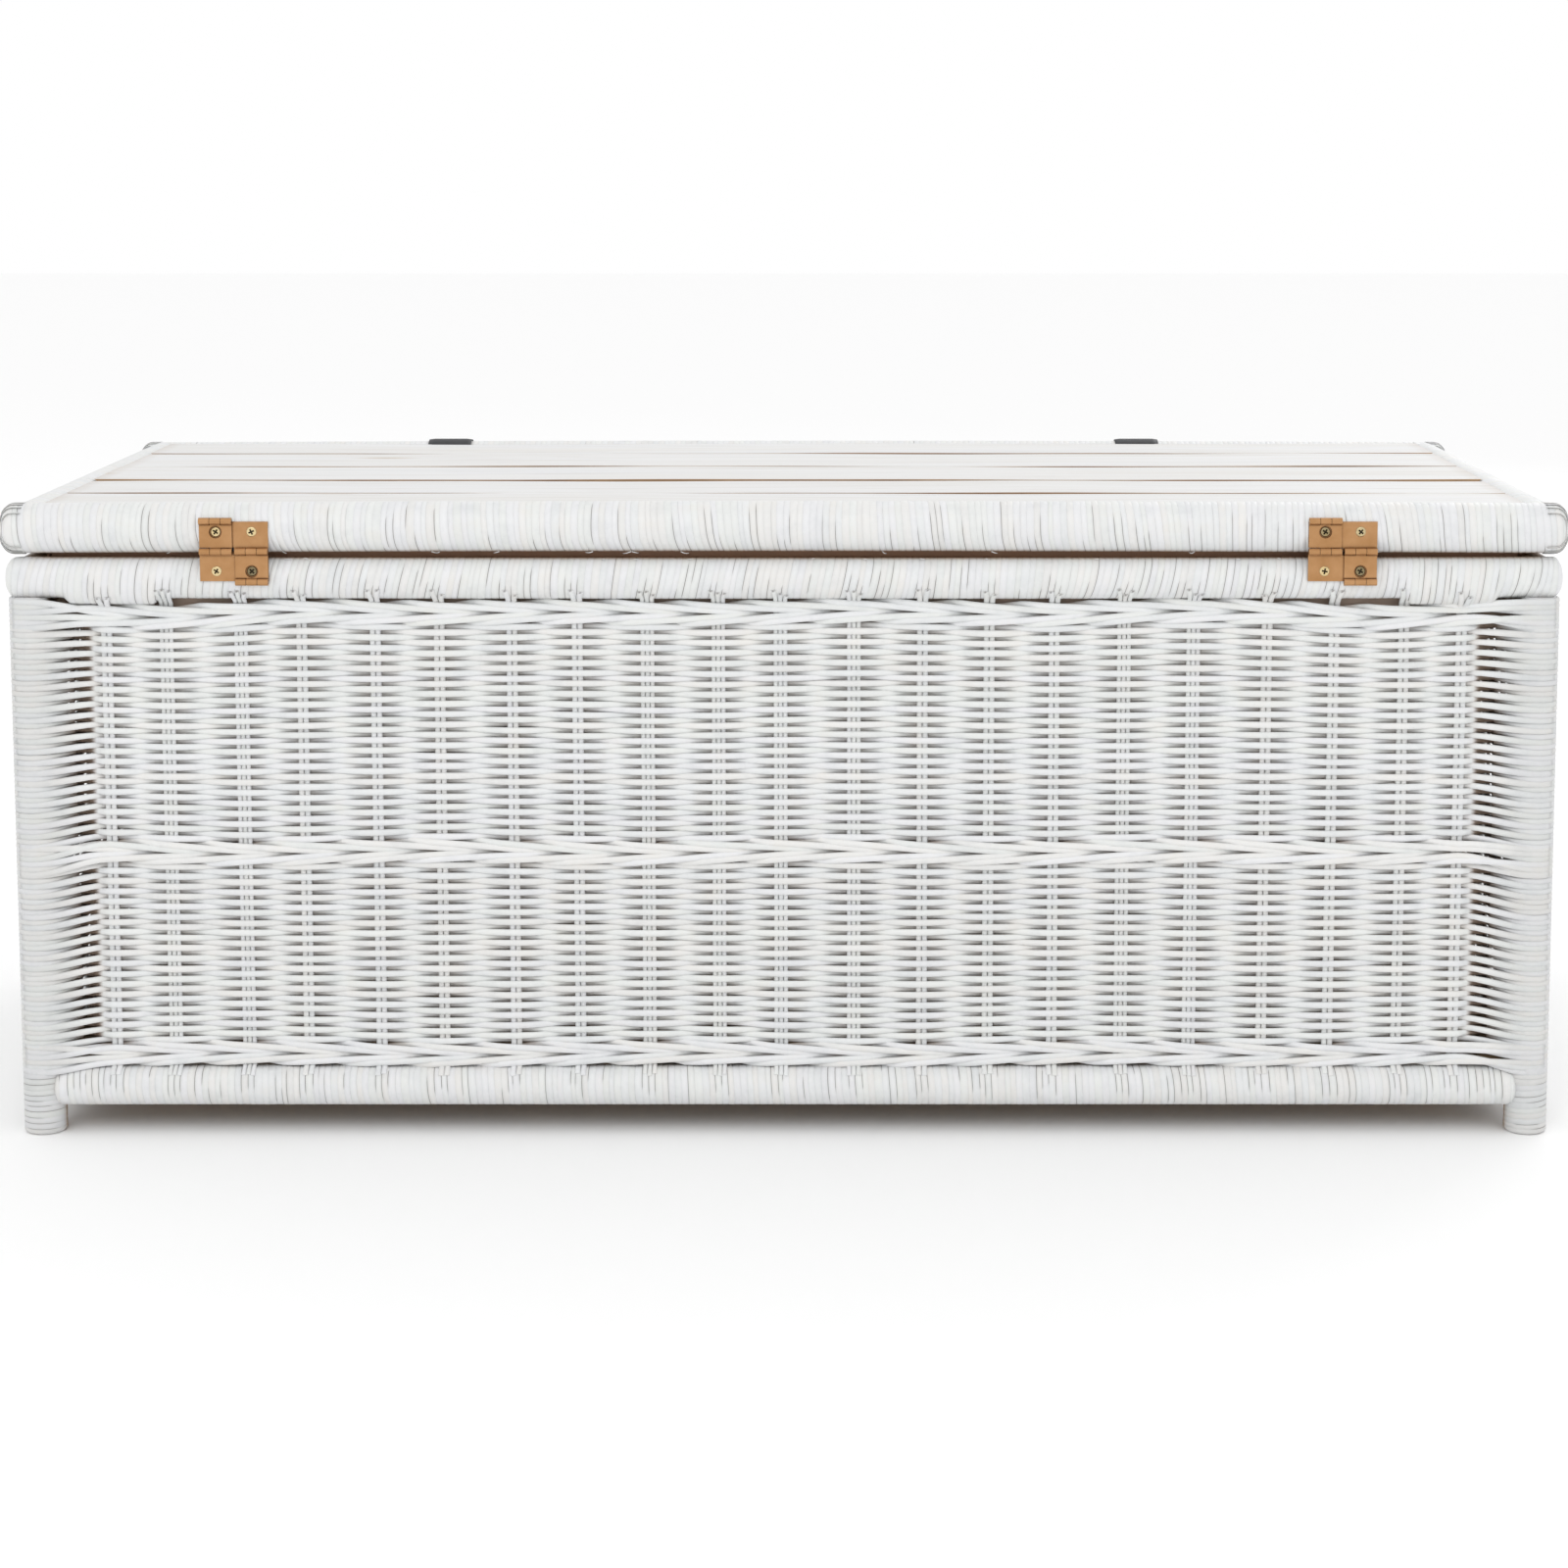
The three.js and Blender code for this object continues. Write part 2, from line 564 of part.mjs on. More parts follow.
for (const rail of [...makeTopRails(), ...makeLidRails()]) {
  trunk.add(rail.name.endsWith('_back') ? copeMesh(rail, hingeTools) : rail);
}
trunk.add(...makePosts(), ...makeBottomRails(), ...makeWovenPanels(), ...makeFloor());
trunk.add(...makePlanks(), ...makeBattens());
for (const [name, side] of Object.entries(SIDES)) {
  trunk.add(makeHinge(`hinge_${name}`, HINGE_OFFSETS[name]));
  trunk.add(makeStrap(`strap_${name}`, side * STRAP_OFFSET));
}

export default trunk;
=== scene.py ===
"""Looks of the wicker storage trunk: woven reeds, cane-wrapped poles, whitewashed planks, hinges and
leather straps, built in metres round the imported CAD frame."""

import json
import math

import bmesh
import bpy
import numpy as np
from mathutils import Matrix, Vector


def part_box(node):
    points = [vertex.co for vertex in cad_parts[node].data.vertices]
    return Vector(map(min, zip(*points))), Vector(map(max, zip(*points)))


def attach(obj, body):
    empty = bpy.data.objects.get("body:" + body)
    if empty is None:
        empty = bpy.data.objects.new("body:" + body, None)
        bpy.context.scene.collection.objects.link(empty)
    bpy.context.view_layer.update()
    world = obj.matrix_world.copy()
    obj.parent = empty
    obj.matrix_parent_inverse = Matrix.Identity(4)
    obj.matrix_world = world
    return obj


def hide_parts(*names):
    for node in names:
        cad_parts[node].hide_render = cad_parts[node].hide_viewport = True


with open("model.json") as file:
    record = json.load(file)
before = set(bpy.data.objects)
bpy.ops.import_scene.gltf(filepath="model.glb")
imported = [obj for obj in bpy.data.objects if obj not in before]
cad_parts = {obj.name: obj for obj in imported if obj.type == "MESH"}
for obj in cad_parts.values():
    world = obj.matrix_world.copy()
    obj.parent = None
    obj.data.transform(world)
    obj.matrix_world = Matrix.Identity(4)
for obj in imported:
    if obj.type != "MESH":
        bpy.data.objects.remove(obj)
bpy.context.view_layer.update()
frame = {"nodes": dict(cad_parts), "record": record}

MM = 0.001
UP = np.array([0.0, 0.0, 1.0])
PHASES = 6.3  # random phases lie between 0 and this, about one turn

# ---- colours, linear ----

WHITE = np.array([0.766, 0.77, 0.769])
RAW_REED = np.array([0.37, 0.275, 0.215])
RAW_PEEL = np.array([0.40, 0.28, 0.185])
RAW_BEAD = np.array([0.46, 0.26, 0.165])
SEAM_AND_SHADE = np.array([0.085, 0.065, 0.055])
POST_PAINTED_SHADE = 0.86  # painted shade: the posts are coloured darker than the walls, where they stand out into the light
TINTS = np.array([[1.0, 1.0, 1.015], [0.99, 1.0, 0.985], [1.0, 0.99, 0.975], [0.985, 0.995, 1.0]])

# ---- the weave's own sizes ----

REED_DEPTH = 1.4 * MM  # half thickness across the wall
REED_FLAT = 2.35 * MM  # half height where a reed lies over a stake
REED_TIGHT = 2.04 * MM  # half height where rows cross
REED_SWING = 2.6 * MM  # how far a row swings either side of the stakes
STAKE_WIDTH = 1.9 * MM  # half width of an upright reed
STAKE_DEPTH = 1.35 * MM
STAKE_OUT = 0.45 * MM  # how far the stakes stand out from the weave's middle plane
RING_PITCH = 3.6 * MM
WALE_HEIGHT = 2.3 * MM  # half height of a strand in a twined band
ROUND_SIDES = 8
SQUARENESS = 3.1  # 2 is a round section
STEPS_PER_STAKE = 8
STRIP_WIDTH = 4.5 * MM  # cane peel
FINE_STRIP = 3.9 * MM  # cane peel on the feet and over the lid rails' ends
WRAP_SIDES = 32


def dice(name):
    """A random source that is the same for the same name on every run."""
    return np.random.default_rng(sum(ord(letter) * (i + 1) for i, letter in enumerate(name)))


def smooth(low, high, value):
    t = np.clip((value - low) / (high - low), 0, 1)
    return t * t * (3 - 2 * t)


def mix(first, second, weight):
    """The first colour where the weight is 0 and the second where it is 1."""
    weight = np.asarray(weight)[..., None]
    return first * (1 - weight) + second * weight


def centre_of(node):
    low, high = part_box(node)
    return np.array((low + high) / 2)


def size_of(node):
    low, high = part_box(node)
    return np.array(high - low)


def corners_of(node):
    return [np.array(corner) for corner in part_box(node)]


def unit(vectors):
    return vectors / np.linalg.norm(vectors, axis=1)[:, None]


def normals_of(line):
    """The unit directions to the right of a line in a plane."""
    ahead = unit(np.gradient(line, axis=0))
    return np.stack([ahead[:, 1], -ahead[:, 0]], -1)


def circle(steps):
    return np.arange(steps) * 2 * math.pi / steps


def rim(angle):
    return np.stack([np.cos(angle), np.sin(angle)], -1)


def apart(first, second):
    """The angle between two directions, in radians."""
    return np.abs((first - second + math.pi) % (2 * math.pi) - math.pi)


def draw_tint(random, low, high):
    return TINTS[random.integers(len(TINTS))] * random.uniform(low, high)


def add_object(name, data):
    made = bpy.data.objects.new(name, data)
    bpy.context.scene.collection.objects.link(made)
    return made


# ---- materials ----


class Surface:
    """A Principled material whose nodes are added one call at a time."""

    def __init__(self, name, roughness, metallic=0.0, specular=0.5):
        self.material = bpy.data.materials.new(name)
        self.material.use_nodes = True
        self.tree = self.material.node_tree
        self.shader = self.tree.nodes["Principled BSDF"]
        self.shader.inputs["Roughness"].default_value = roughness
        self.shader.inputs["Metallic"].default_value = metallic
        self.shader.inputs["Specular IOR Level"].default_value = specular

    def node(self, kind, settings=None, **links):
        made = self.tree.nodes.new(kind)
        for key, value in (settings or {}).items():
            if hasattr(made, key):
                setattr(made, key, value)
            else:
                made.inputs[key].default_value = value
        for key, source in links.items():
            self.tree.links.new(source, made.inputs[key.replace("_", " ")])
        return made

    def place(self, scale):
        """The object's own coordinates, in metres, times scale along each axis."""
        coordinates = self.node("ShaderNodeTexCoord")
        mapping = self.node("ShaderNodeMapping", {"Scale": scale}, Vector=coordinates.outputs["Object"])
        return mapping.outputs["Vector"]

    def tone(self, output):
        return self.node("ShaderNodeAttribute", {"attribute_name": "tone"}).outputs[output]

    def noise(self, scale, detail=4.0, roughness=0.5, distortion=0.0):
        made = self.node(
            "ShaderNodeTexNoise",
            {"Scale": 1.0, "Detail": detail, "Roughness": roughness, "Distortion": distortion},
            Vector=self.place(scale),
        )
        return made.outputs["Fac"]

    def ramp(self, source, stops):
        made = self.node("ShaderNodeValToRGB", Fac=source)
        elements = made.color_ramp.elements
        while len(elements) < len(stops):
            elements.new(0.5)
        for element, (position, colour) in zip(elements, stops):
            element.position = position
            element.color = (*colour, 1.0)
        return made.outputs["Color"]

    def blend(self, mode, first, second, weight=None):
        """Mixes two colours by the weight, or fully. A Mix node has a set of sockets for each kind of
        value, so its colours are found by number."""
        factor, colour_a, colour_b, colour_result = 0, 6, 7, 2
        made = self.node("ShaderNodeMix", {"data_type": "RGBA", "blend_type": mode})
        made.inputs[factor].default_value = 1.0
        self.tree.links.new(first, made.inputs[colour_a])
        self.tree.links.new(second, made.inputs[colour_b])
        if weight is not None:
            self.tree.links.new(weight, made.inputs[factor])
        return made.outputs[colour_result]

    def scaled(self, source, low, high):
        made = self.node("ShaderNodeMapRange", {"To Min": low, "To Max": high}, Value=source)
        return made.outputs["Result"]

    def colour(self, source):
        self.tree.links.new(source, self.shader.inputs["Base Color"])

    def rough(self, source, low, high):
        self.tree.links.new(self.scaled(source, low, high), self.shader.inputs["Roughness"])

    def bump(self, source, distance, strength=1.0):
        made = self.node("ShaderNodeBump", {"Strength": strength, "Distance": distance}, Height=source)
        self.tree.links.new(made.outputs["Normal"], self.shader.inputs["Normal"])


def tone_surface(name, roughness, grain, depth):
    """Paint over reed or cane: vertex tones, mottled, with a fine grain."""
    surface = Surface(name, roughness, specular=0.4)
    mottle = surface.ramp(
        surface.noise((60, 60, 60), detail=5, roughness=0.6),
        [(0.3, (0.93, 0.935, 0.94)), (0.5, (1.0, 1.0, 1.0)), (0.72, (1.0, 0.985, 0.965))],
    )
    fine = surface.noise(grain, detail=3)
    surface.colour(surface.blend("MULTIPLY", surface.tone("Color"), mottle))
    surface.rough(fine, roughness - 0.1, roughness + 0.12)
    surface.bump(fine, depth, 0.6)
    return surface.material


def whitewash_surface():
    """Pine under thin white paint, bare where the edges turn down into the gaps."""
    surface = Surface("whitewashed_pine", 0.5, specular=0.35)
    grain = surface.noise((5, 190, 60), detail=6, roughness=0.65, distortion=1.2)
    broad = surface.noise((2.2, 26, 20), detail=3)
    knots = surface.node("ShaderNodeTexVoronoi", {"Scale": 1.0, "Randomness": 1.0},
                         Vector=surface.place((3.4, 12.5, 4))).outputs["Distance"]
    paint = surface.ramp(grain, [(0.3, (0.62, 0.605, 0.585)), (0.46, (0.72, 0.717, 0.711)),
                                 (0.7, (0.745, 0.745, 0.75))])
    cloud = surface.ramp(broad, [(0.3, (0.955, 0.94, 0.915)), (0.55, (1.0, 1.0, 1.0)),
                                 (0.8, (0.965, 0.975, 1.0))])
    knot = surface.ramp(knots, [(0.0, (0.72, 0.62, 0.52)), (0.045, (0.86, 0.79, 0.71)),
                                (0.1, (1.0, 1.0, 1.0))])
    painted = surface.blend("MULTIPLY", surface.blend("MULTIPLY", paint, cloud), knot)
    bare = surface.ramp(grain, [(0.35, (0.24, 0.135, 0.065)), (0.65, (0.46, 0.29, 0.155))])
    surface.colour(surface.blend("MIX", bare, painted, surface.tone("Fac")))
    surface.rough(grain, 0.62, 0.42)
    surface.bump(grain, 0.25 * MM, 0.5)
    return surface.material


def noisy_surface(name, specular, noise, stops, rough, relief):
    """A material whose colour, roughness and relief all follow one noise."""
    surface = Surface(name, rough[0], specular=specular)
    source = surface.noise(**noise)
    surface.colour(surface.ramp(source, stops))
    if rough[0] != rough[1]:
        surface.rough(source, *rough)
    surface.bump(source, relief, 0.5)
    return surface.material


def metal_surface(name, dark, light, roughness, metallic, toned=False):
    """Clouded metal with painted shade in its crevices, and more painted shade from vertex tones if it has
    them.
    """
    surface = Surface(name, roughness, metallic=metallic)
    metal = surface.ramp(surface.noise((70, 70, 70), detail=5, roughness=0.55), [(0.3, dark), (0.7, light)])
    surface.rough(surface.noise((400, 400, 400), detail=3), roughness - 0.07, roughness + 0.12)
    surface.bump(surface.noise((1200, 1200, 1200), detail=2), 0.01 * MM, 0.4)
    # painted shade: ambient occlusion darkens the metal in its crevices
    crevice = surface.node("ShaderNodeAmbientOcclusion", {"samples": 8, "Distance": 3 * MM}).outputs["AO"]
    crevice_shade = surface.ramp(crevice, [(0.35, (0.22, 0.17, 0.13)), (0.85, (1.0, 1.0, 1.0))])
    metal = surface.blend("MULTIPLY", metal, crevice_shade)
    if toned:
        metal = surface.blend("MULTIPLY", metal, surface.tone("Color"))
    surface.colour(metal)
    return surface.material


def leather_surface():
    surface = Surface("charcoal_leather", 0.5, specular=0.45)
    cells = surface.node("ShaderNodeTexVoronoi", {"Scale": 1.0, "feature": "F1"},
                         Vector=surface.place((900, 900, 900))).outputs["Distance"]
    rub = surface.noise((120, 120, 60), detail=4)
    surface.colour(surface.ramp(rub, [(0.3, (0.016, 0.017, 0.020)), (0.7, (0.040, 0.041, 0.046))]))
    surface.rough(rub, 0.42, 0.62)
    surface.bump(cells, 0.2 * MM, 0.5)
    return surface.material


REED_ALONG_X = tone_surface("painted_reed_long", 0.5, (45, 900, 1100), 0.09 * MM)
REED_ALONG_Y = tone_surface("painted_reed_short", 0.5, (900, 45, 1100), 0.09 * MM)
REED_UPRIGHT = tone_surface("painted_reed_upright", 0.5, (1100, 1100, 45), 0.09 * MM)
PEEL = tone_surface("painted_cane_peel", 0.42, (500, 500, 500), 0.04 * MM)
WHITEWASH = whitewash_surface()
PLAIN_WOOD = noisy_surface(
    "plain_wood", 0.3, {"scale": (7, 160, 60), "detail": 6, "roughness": 0.6, "distortion": 1.5},
    [(0.3, (0.29, 0.185, 0.10)), (0.5, (0.43, 0.30, 0.18)), (0.72, (0.54, 0.40, 0.26))], (0.7, 0.5), 0.3 * MM)
BRONZE = metal_surface("bronze_plate", (0.42, 0.215, 0.085), (0.52, 0.285, 0.13), 0.34, 0.75)
SCREW_BRASS = metal_surface("screw_brass", (0.66, 0.50, 0.25), (0.84, 0.70, 0.42), 0.24, 0.9, toned=True)
LEATHER = leather_surface()
THREAD = noisy_surface("waxed_thread", 0.5, {"scale": (1500, 1500, 1500), "detail": 2},
                       [(0.3, (0.05, 0.045, 0.04)), (0.7, (0.12, 0.11, 0.10))], (0.6, 0.6), 0.05 * MM)


# ---- mesh building ----


class Pile:
    """Points, tones and faces gathered for one piece."""

    def __init__(self):
        self.points, self.tones, self.quads, self.tris = [], [], [], []
        self.count = 0

    def add(self, points, tones, quads, tris):
        self.points.append(points)
        self.tones.append(tones)
        self.quads.append(quads + self.count)
        self.tris.append(tris + self.count)
        self.count += len(points)

    def net(self, points, tones, closed_along=False, flip=False):
        """A net of points (along, round, 3), closed round, with its open ends capped."""
        along, around, _ = points.shape
        index = np.arange(along * around).reshape(along, around)
        onward = np.roll(index, -1, axis=0) if closed_along else index[1:]
        here = index if closed_along else index[:-1]
        quads = np.stack([here, np.roll(here, -1, 1), np.roll(onward, -1, 1), onward], -1).reshape(-1, 4)
        flat, flat_tones = points.reshape(-1, 3), tones.reshape(-1, 3)
        tris = np.zeros((0, 3), int)
        if not closed_along:
            ends = np.stack([points[0].mean(0), points[-1].mean(0)])
            flat = np.concatenate([flat, ends])
            flat_tones = np.concatenate([flat_tones, tones[0].mean(0)[None], tones[-1].mean(0)[None]])
            first, last = index[0], index[-1]
            tip = along * around
            tris = np.concatenate([
                np.stack([np.full(around, tip), np.roll(first, -1), first], -1),
                np.stack([np.full(around, tip + 1), last, np.roll(last, -1)], -1),
            ])
        if flip:
            quads, tris = quads[:, ::-1], tris[:, ::-1]
        self.add(flat, flat_tones, quads, tris)

    def tube(self, path, wide, thick, wide_radius, thick_radius, tone, sides=ROUND_SIDES, closed=False):
        """A reed along path. wide and thick are the unit directions of its half widths. tone is a
        colour, or a function of the points."""
        turn = circle(sides)
        cosine = np.sign(np.cos(turn)) * np.abs(np.cos(turn)) ** (2 / SQUARENESS)
        sine = np.sign(np.sin(turn)) * np.abs(np.sin(turn)) ** (2 / SQUARENESS)
        wide = np.broadcast_to(wide, path.shape)
        thick = np.broadcast_to(thick, path.shape)
        wide_radius = np.broadcast_to(wide_radius, len(path))[:, None, None]
        thick_radius = np.broadcast_to(thick_radius, len(path))[:, None, None]
        ring = (wide[:, None] * cosine[None, :, None] * wide_radius
                + thick[:, None] * sine[None, :, None] * thick_radius)
        points = path[:, None] + ring
        tones = tone(points) if callable(tone) else np.broadcast_to(tone, points.shape)
        ahead = np.gradient(path, axis=0)
        turned = (np.cross(wide, thick) * ahead).sum() < 0
        self.net(points, tones, closed, turned)

    def make(self, name, material, body, slot, replaced=()):
        mesh = bpy.data.meshes.new(name)
        points = np.concatenate(self.points)
        quads = np.concatenate(self.quads)
        tris = np.concatenate(self.tris)
        corners = np.concatenate([quads.ravel(), tris.ravel()])
        starts = np.concatenate([np.arange(len(quads)) * 4, 4 * len(quads) + np.arange(len(tris)) * 3])
        mesh.vertices.add(len(points))
        mesh.vertices.foreach_set("co", points.astype(np.float32).ravel())
        mesh.loops.add(len(corners))
        mesh.loops.foreach_set("vertex_index", corners.astype(np.int32))
        mesh.polygons.add(len(starts))
        mesh.polygons.foreach_set("loop_start", starts.astype(np.int32))
        mesh.update(calc_edges=True)
        mesh.polygons.foreach_set("use_smooth", np.ones(len(starts), bool))
        layer = mesh.color_attributes.new("tone", "FLOAT_COLOR", "POINT")
        tones = np.ones((len(points), 4), np.float32)
        tones[:, :3] = np.concatenate(self.tones)
        layer.data.foreach_set("color", tones.ravel())
        return settle(name, mesh, material, body, replaced)


def settle(name, mesh, material, body, replaced=()):
    """Puts a new piece in the scene, on its body, with its finish and the CAD nodes it stands for."""
    piece = add_object(name, mesh)
    mesh.materials.append(material)
    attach(piece, body)
    if replaced:
        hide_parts(*replaced)
    return piece


# ---- places taken from the frame ----

POST = np.abs(centre_of("post_back_right"))
POST_RADIUS = size_of("post_back_right")[0] / 2
POST_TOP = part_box("post_back_right")[1].z
WEAVE_Y = centre_of("woven_panel_back")[1]
WEAVE_X = centre_of("woven_panel_right")[0]
WEAVE_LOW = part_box("woven_panel_back")[0].z
WEAVE_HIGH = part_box("woven_panel_back")[1].z
TOP_RAIL = centre_of("body_top_rail_back")
TOP_RAIL_RADIUS = size_of("body_top_rail_back")[1] / 2
BOTTOM_RAIL = centre_of("body_bottom_rail_back")
BOTTOM_RAIL_RADIUS = size_of("body_bottom_rail_back")[1] / 2
LID_RAIL = centre_of("lid_rail_front")
LID_RAIL_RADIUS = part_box("lid_rail_front")[1].z - LID_RAIL[2]
LID_SIDE_X = centre_of("lid_rail_right")[0]

RING_RADIUS = POST_RADIUS - REED_DEPTH
INNER_RADIUS = RING_RADIUS + 2.2 * REED_DEPTH
LOOP_REACH = 26.5 * MM  # how far an extra turn reaches from a post's middle along each wall

BAND_ROWS = 2
WALE_STRANDS = 3
BAND_HEIGHT = 15.4 * MM
STRAND_REACH = 3.3 * MM  # how far a strand climbs or falls either side of its row
BANDS = [WEAVE_LOW + 0.55 * BAND_HEIGHT, (WEAVE_LOW + WEAVE_HIGH) / 2 - 12.5 * MM,
         WEAVE_HIGH - 0.6 * BAND_HEIGHT]
UNDULATION = 0.9 * MM
BAND_SAG = 2.6 * MM  # the top band hangs this much lower near its ends
SAG_PLACE = 0.41
END_STAKE_SHIFT = 4.5 * MM  # the end stakes stand closer to their neighbours than the others do
SWELL = 4.4 * MM  # near its ends a top rail's wrapping takes in a filler underneath
BOTTOM_RAIL_TUCK = 7 * MM  # how far short of the CAD bar the wrapping of a bottom rail stops


def lift(s, z):
    """How far the weave wanders up or down at s along a wall and height z. It waves a little everywhere
    and more near a band, and the top band sags near its ends."""
    total = 0.5 * MM * np.sin(s / 0.047 + z * 31) * np.sin(z * 44 + 1.3)
    for i, band in enumerate(BANDS):
        near = np.exp(-np.abs(z - band) / 0.035)
        total = total + UNDULATION * near * np.sin(2 * math.pi * s / (0.29 - 0.04 * i) + 1.7 * i)
    near_top = np.exp(-np.abs(z - BANDS[-1]) / 0.05)
    return total - BAND_SAG * near_top * np.exp(-((np.abs(s) - SAG_PLACE) / 0.055) ** 2)


def post_drop(z):
    """How much lower a row sits on the posts than on the stakes."""
    share = np.clip((z - WEAVE_LOW) / (WEAVE_HIGH - WEAVE_LOW), 0, 1)
    return 5 * MM * np.sin(math.pi * share ** 0.6)


def bezier(p0, p1, p2, p3, steps):
    t = np.linspace(0, 1, steps + 1)[:, None]
    p0, p1, p2, p3 = (np.array(p) for p in (p0, p1, p2, p3))
    return (1 - t) ** 3 * p0 + 3 * t * (1 - t) ** 2 * p1 + 3 * t * t * (1 - t) * p2 + t ** 3 * p3


class Wall:
    """One woven wall. A place on it is s along it, d out from the weave's middle plane, and z."""

    def __init__(self, name, along, out, middle, post_s, post_out, stakes):
        self.name = name
        self.along = np.array(along, float)
        self.out = np.array(out, float)
        self.reed_surface = REED_ALONG_X if along[0] else REED_ALONG_Y
        self.middle = middle
        self.post_s = post_s
        self.post_d = post_out - middle
        self.pitch = 2 * post_s / (stakes + 1)
        jitter = dice("stakes" + name).uniform(-3, 3, stakes) * MM
        jitter[[0, -1]] *= 0.3
        self.stakes = -post_s + self.pitch * np.arange(1, stakes + 1) + jitter
        self.stakes[[0, -1]] += np.array([1, -1]) * END_STAKE_SHIFT

    def place(self, s, d, z):
        s, d, z = np.broadcast_arrays(s, d, z)
        return s[:, None] * self.along + (self.middle + d)[:, None] * self.out + z[:, None] * UP

    def tone(self, tint):
        """White outside, raw reed where the paint didn't reach."""
        def tones(points):
            depth = points @ self.out - self.middle
            painted = smooth(-3.3 * MM, 0.2 * MM, depth)
            # painted shade: towards a post the white is coloured darker
            at_post = smooth(self.post_s - 34 * MM, self.post_s - 8 * MM, np.abs(points @ self.along))
            paint = mix(np.broadcast_to(WHITE * tint, points.shape), WHITE * tint * POST_PAINTED_SHADE, at_post)
            return mix(np.broadcast_to(RAW_REED, points.shape), paint, painted)
        return tones

    def corner(self, s, d, outside):
        """The stretch from the last stake to the middle of the post's turn, as (s, d)."""
        reach = self.post_s - s
        if outside:
            top = self.post_d + RING_RADIUS
            run = bezier((s, d), (s + 0.42 * reach, d), (self.post_s - 0.3 * reach, top),
                         (self.post_s, top), 8)
            arc = [self.post_s, self.post_d] + RING_RADIUS * rim(np.radians([75, 60, 45]))
            return np.concatenate([run, arc])
        inset = INNER_RADIUS / math.sqrt(2)
        end = np.array([self.post_s - inset, self.post_d - inset])
        return bezier((s, d), (s + 0.2 * reach, d), (s + 0.26 * reach, d - 15 * MM), end, 13)

    def swell(self, s):
        """How far the filler pushes the top rail's wrapping down at s."""
        from_post = self.post_s - np.abs(s)
        return SWELL * smooth(25 * MM, 31 * MM, from_post) * (1 - smooth(86 * MM, 92 * MM, from_post))

    def row(self, parity, swing):
        """A plain row as (s, d, share), share being 1 over a stake and 0 where rows cross."""
        sign = np.where((np.arange(len(self.stakes)) + 1 + parity) % 2 == 0, 1.0, -1.0)
        spans = []
        for i in range(len(self.stakes) - 1):
            t = np.arange(STEPS_PER_STAKE) / STEPS_PER_STAKE
            s = self.stakes[i] + t * (self.stakes[i + 1] - self.stakes[i])
            spans.append(np.stack([s, swing * sign[i] * np.cos(math.pi * t)], -1))
        middle = np.concatenate(spans)
        outside = parity % 2 == 0
        left = self.corner(-self.stakes[0], swing * sign[0], outside) * [-1, 1]
        right = self.corner(self.stakes[-1], swing * sign[-1], outside)
        line = np.concatenate([left[:0:-1], middle, right])
        share = np.abs(line[:, 1]) / swing
        return line, np.clip(share, 0, 1)

    def near_post(self, s):
        """0 up to the last stake, rising to 1 at the post."""
        last = self.stakes[-1]
        return smooth(0, self.post_s - last, np.abs(s) - last)

    def heights(self, s, z):
        """The height of a row of nominal height z at each s, lower where it meets the posts."""
        near_post = self.near_post(s)
        return z + lift(s * self.along.sum(), z) * (1 - near_post) - post_drop(z) * near_post

    def reed(self, pile, line, z, tall, tint):
        path = self.place(line[:, 0], line[:, 1], z)
        side = unit(np.cross(unit(np.gradient(path, axis=0)), UP))
        pile.tube(path, side, UP, REED_DEPTH, tall, self.tone(tint))


WALLS = [
    Wall("back", (-1, 0, 0), (0, 1, 0), WEAVE_Y, POST[0], POST[1], 21),
    Wall("front", (1, 0, 0), (0, -1, 0), WEAVE_Y, POST[0], POST[1], 21),
    Wall("right", (0, 1, 0), (1, 0, 0), WEAVE_X, POST[1], POST[0], 9),
    Wall("left", (0, -1, 0), (-1, 0, 0), WEAVE_X, POST[1], POST[0], 9),
]


def field_rows():
    """The heights of the plain rows in the lower and upper fields."""
    half = BAND_HEIGHT / 2 + 0.4 * MM
    fields = []
    for low, high in zip(BANDS[:-1], BANDS[1:]):
        count = round((high - low - 2 * half) / RING_PITCH)
        fields.append(low + half + (np.arange(count) + 0.5) * (high - low - 2 * half) / count)
    return fields


# ---- walls ----


def weave_field(wall, rows, label):
    pile = Pile()
    random = dice(wall.name + label)
    for number, height in enumerate(rows):
        line, share = wall.row(number % 2, REED_SWING)
        z = wall.heights(line[:, 0], height)
        knots = random.normal(0, 0.16 * MM, len(wall.stakes) + 2)
        places = np.concatenate([[-wall.post_s], wall.stakes, [wall.post_s]])
        z = z + np.interp(line[:, 0], places, knots)
        tall = REED_TIGHT + (REED_FLAT - REED_TIGHT) * share
        tall = tall * random.uniform(0.94, 1.04)
        tint = draw_tint(random, 0.97, 1.02)
        wall.reed(pile, line, z, tall, tint)
    return pile.make(f"woven_rows_{wall.name}_{label}", wall.reed_surface, "trunk_body", "wicker",
                     [f"woven_panel_{wall.name}"])


def wale_line(wall, strand, slant):
    """One strand of a twined row, over two stakes and behind the third, as (s, d, rise)."""
    count = (len(wall.stakes) - 1) * STEPS_PER_STAKE + 1
    s = np.linspace(wall.stakes[0], wall.stakes[-1], count)
    u = ((s + wall.post_s) / wall.pitch + 0.5 + strand) % WALE_STRANDS
    front = WALE_STRANDS - 1
    swing = REED_SWING + 0.5 * MM
    dive = 2 * smooth(front - 0.35, front + 0.35, u) - 1
    emerge = 2 * smooth(-0.35, 0.35, np.where(u > front + 0.5, u - WALE_STRANDS, u)) - 1
    over = 0.6 * MM * np.clip(1 - u / front, 0, 1) * (u < front)
    d = swing * np.where((u > 0.35) & (u < front + 0.5), -dive, emerge) + over
    rise = np.where(u < front, 1 - u, (u - front) * 2 - 1) * STRAND_REACH * slant
    return s, d, rise


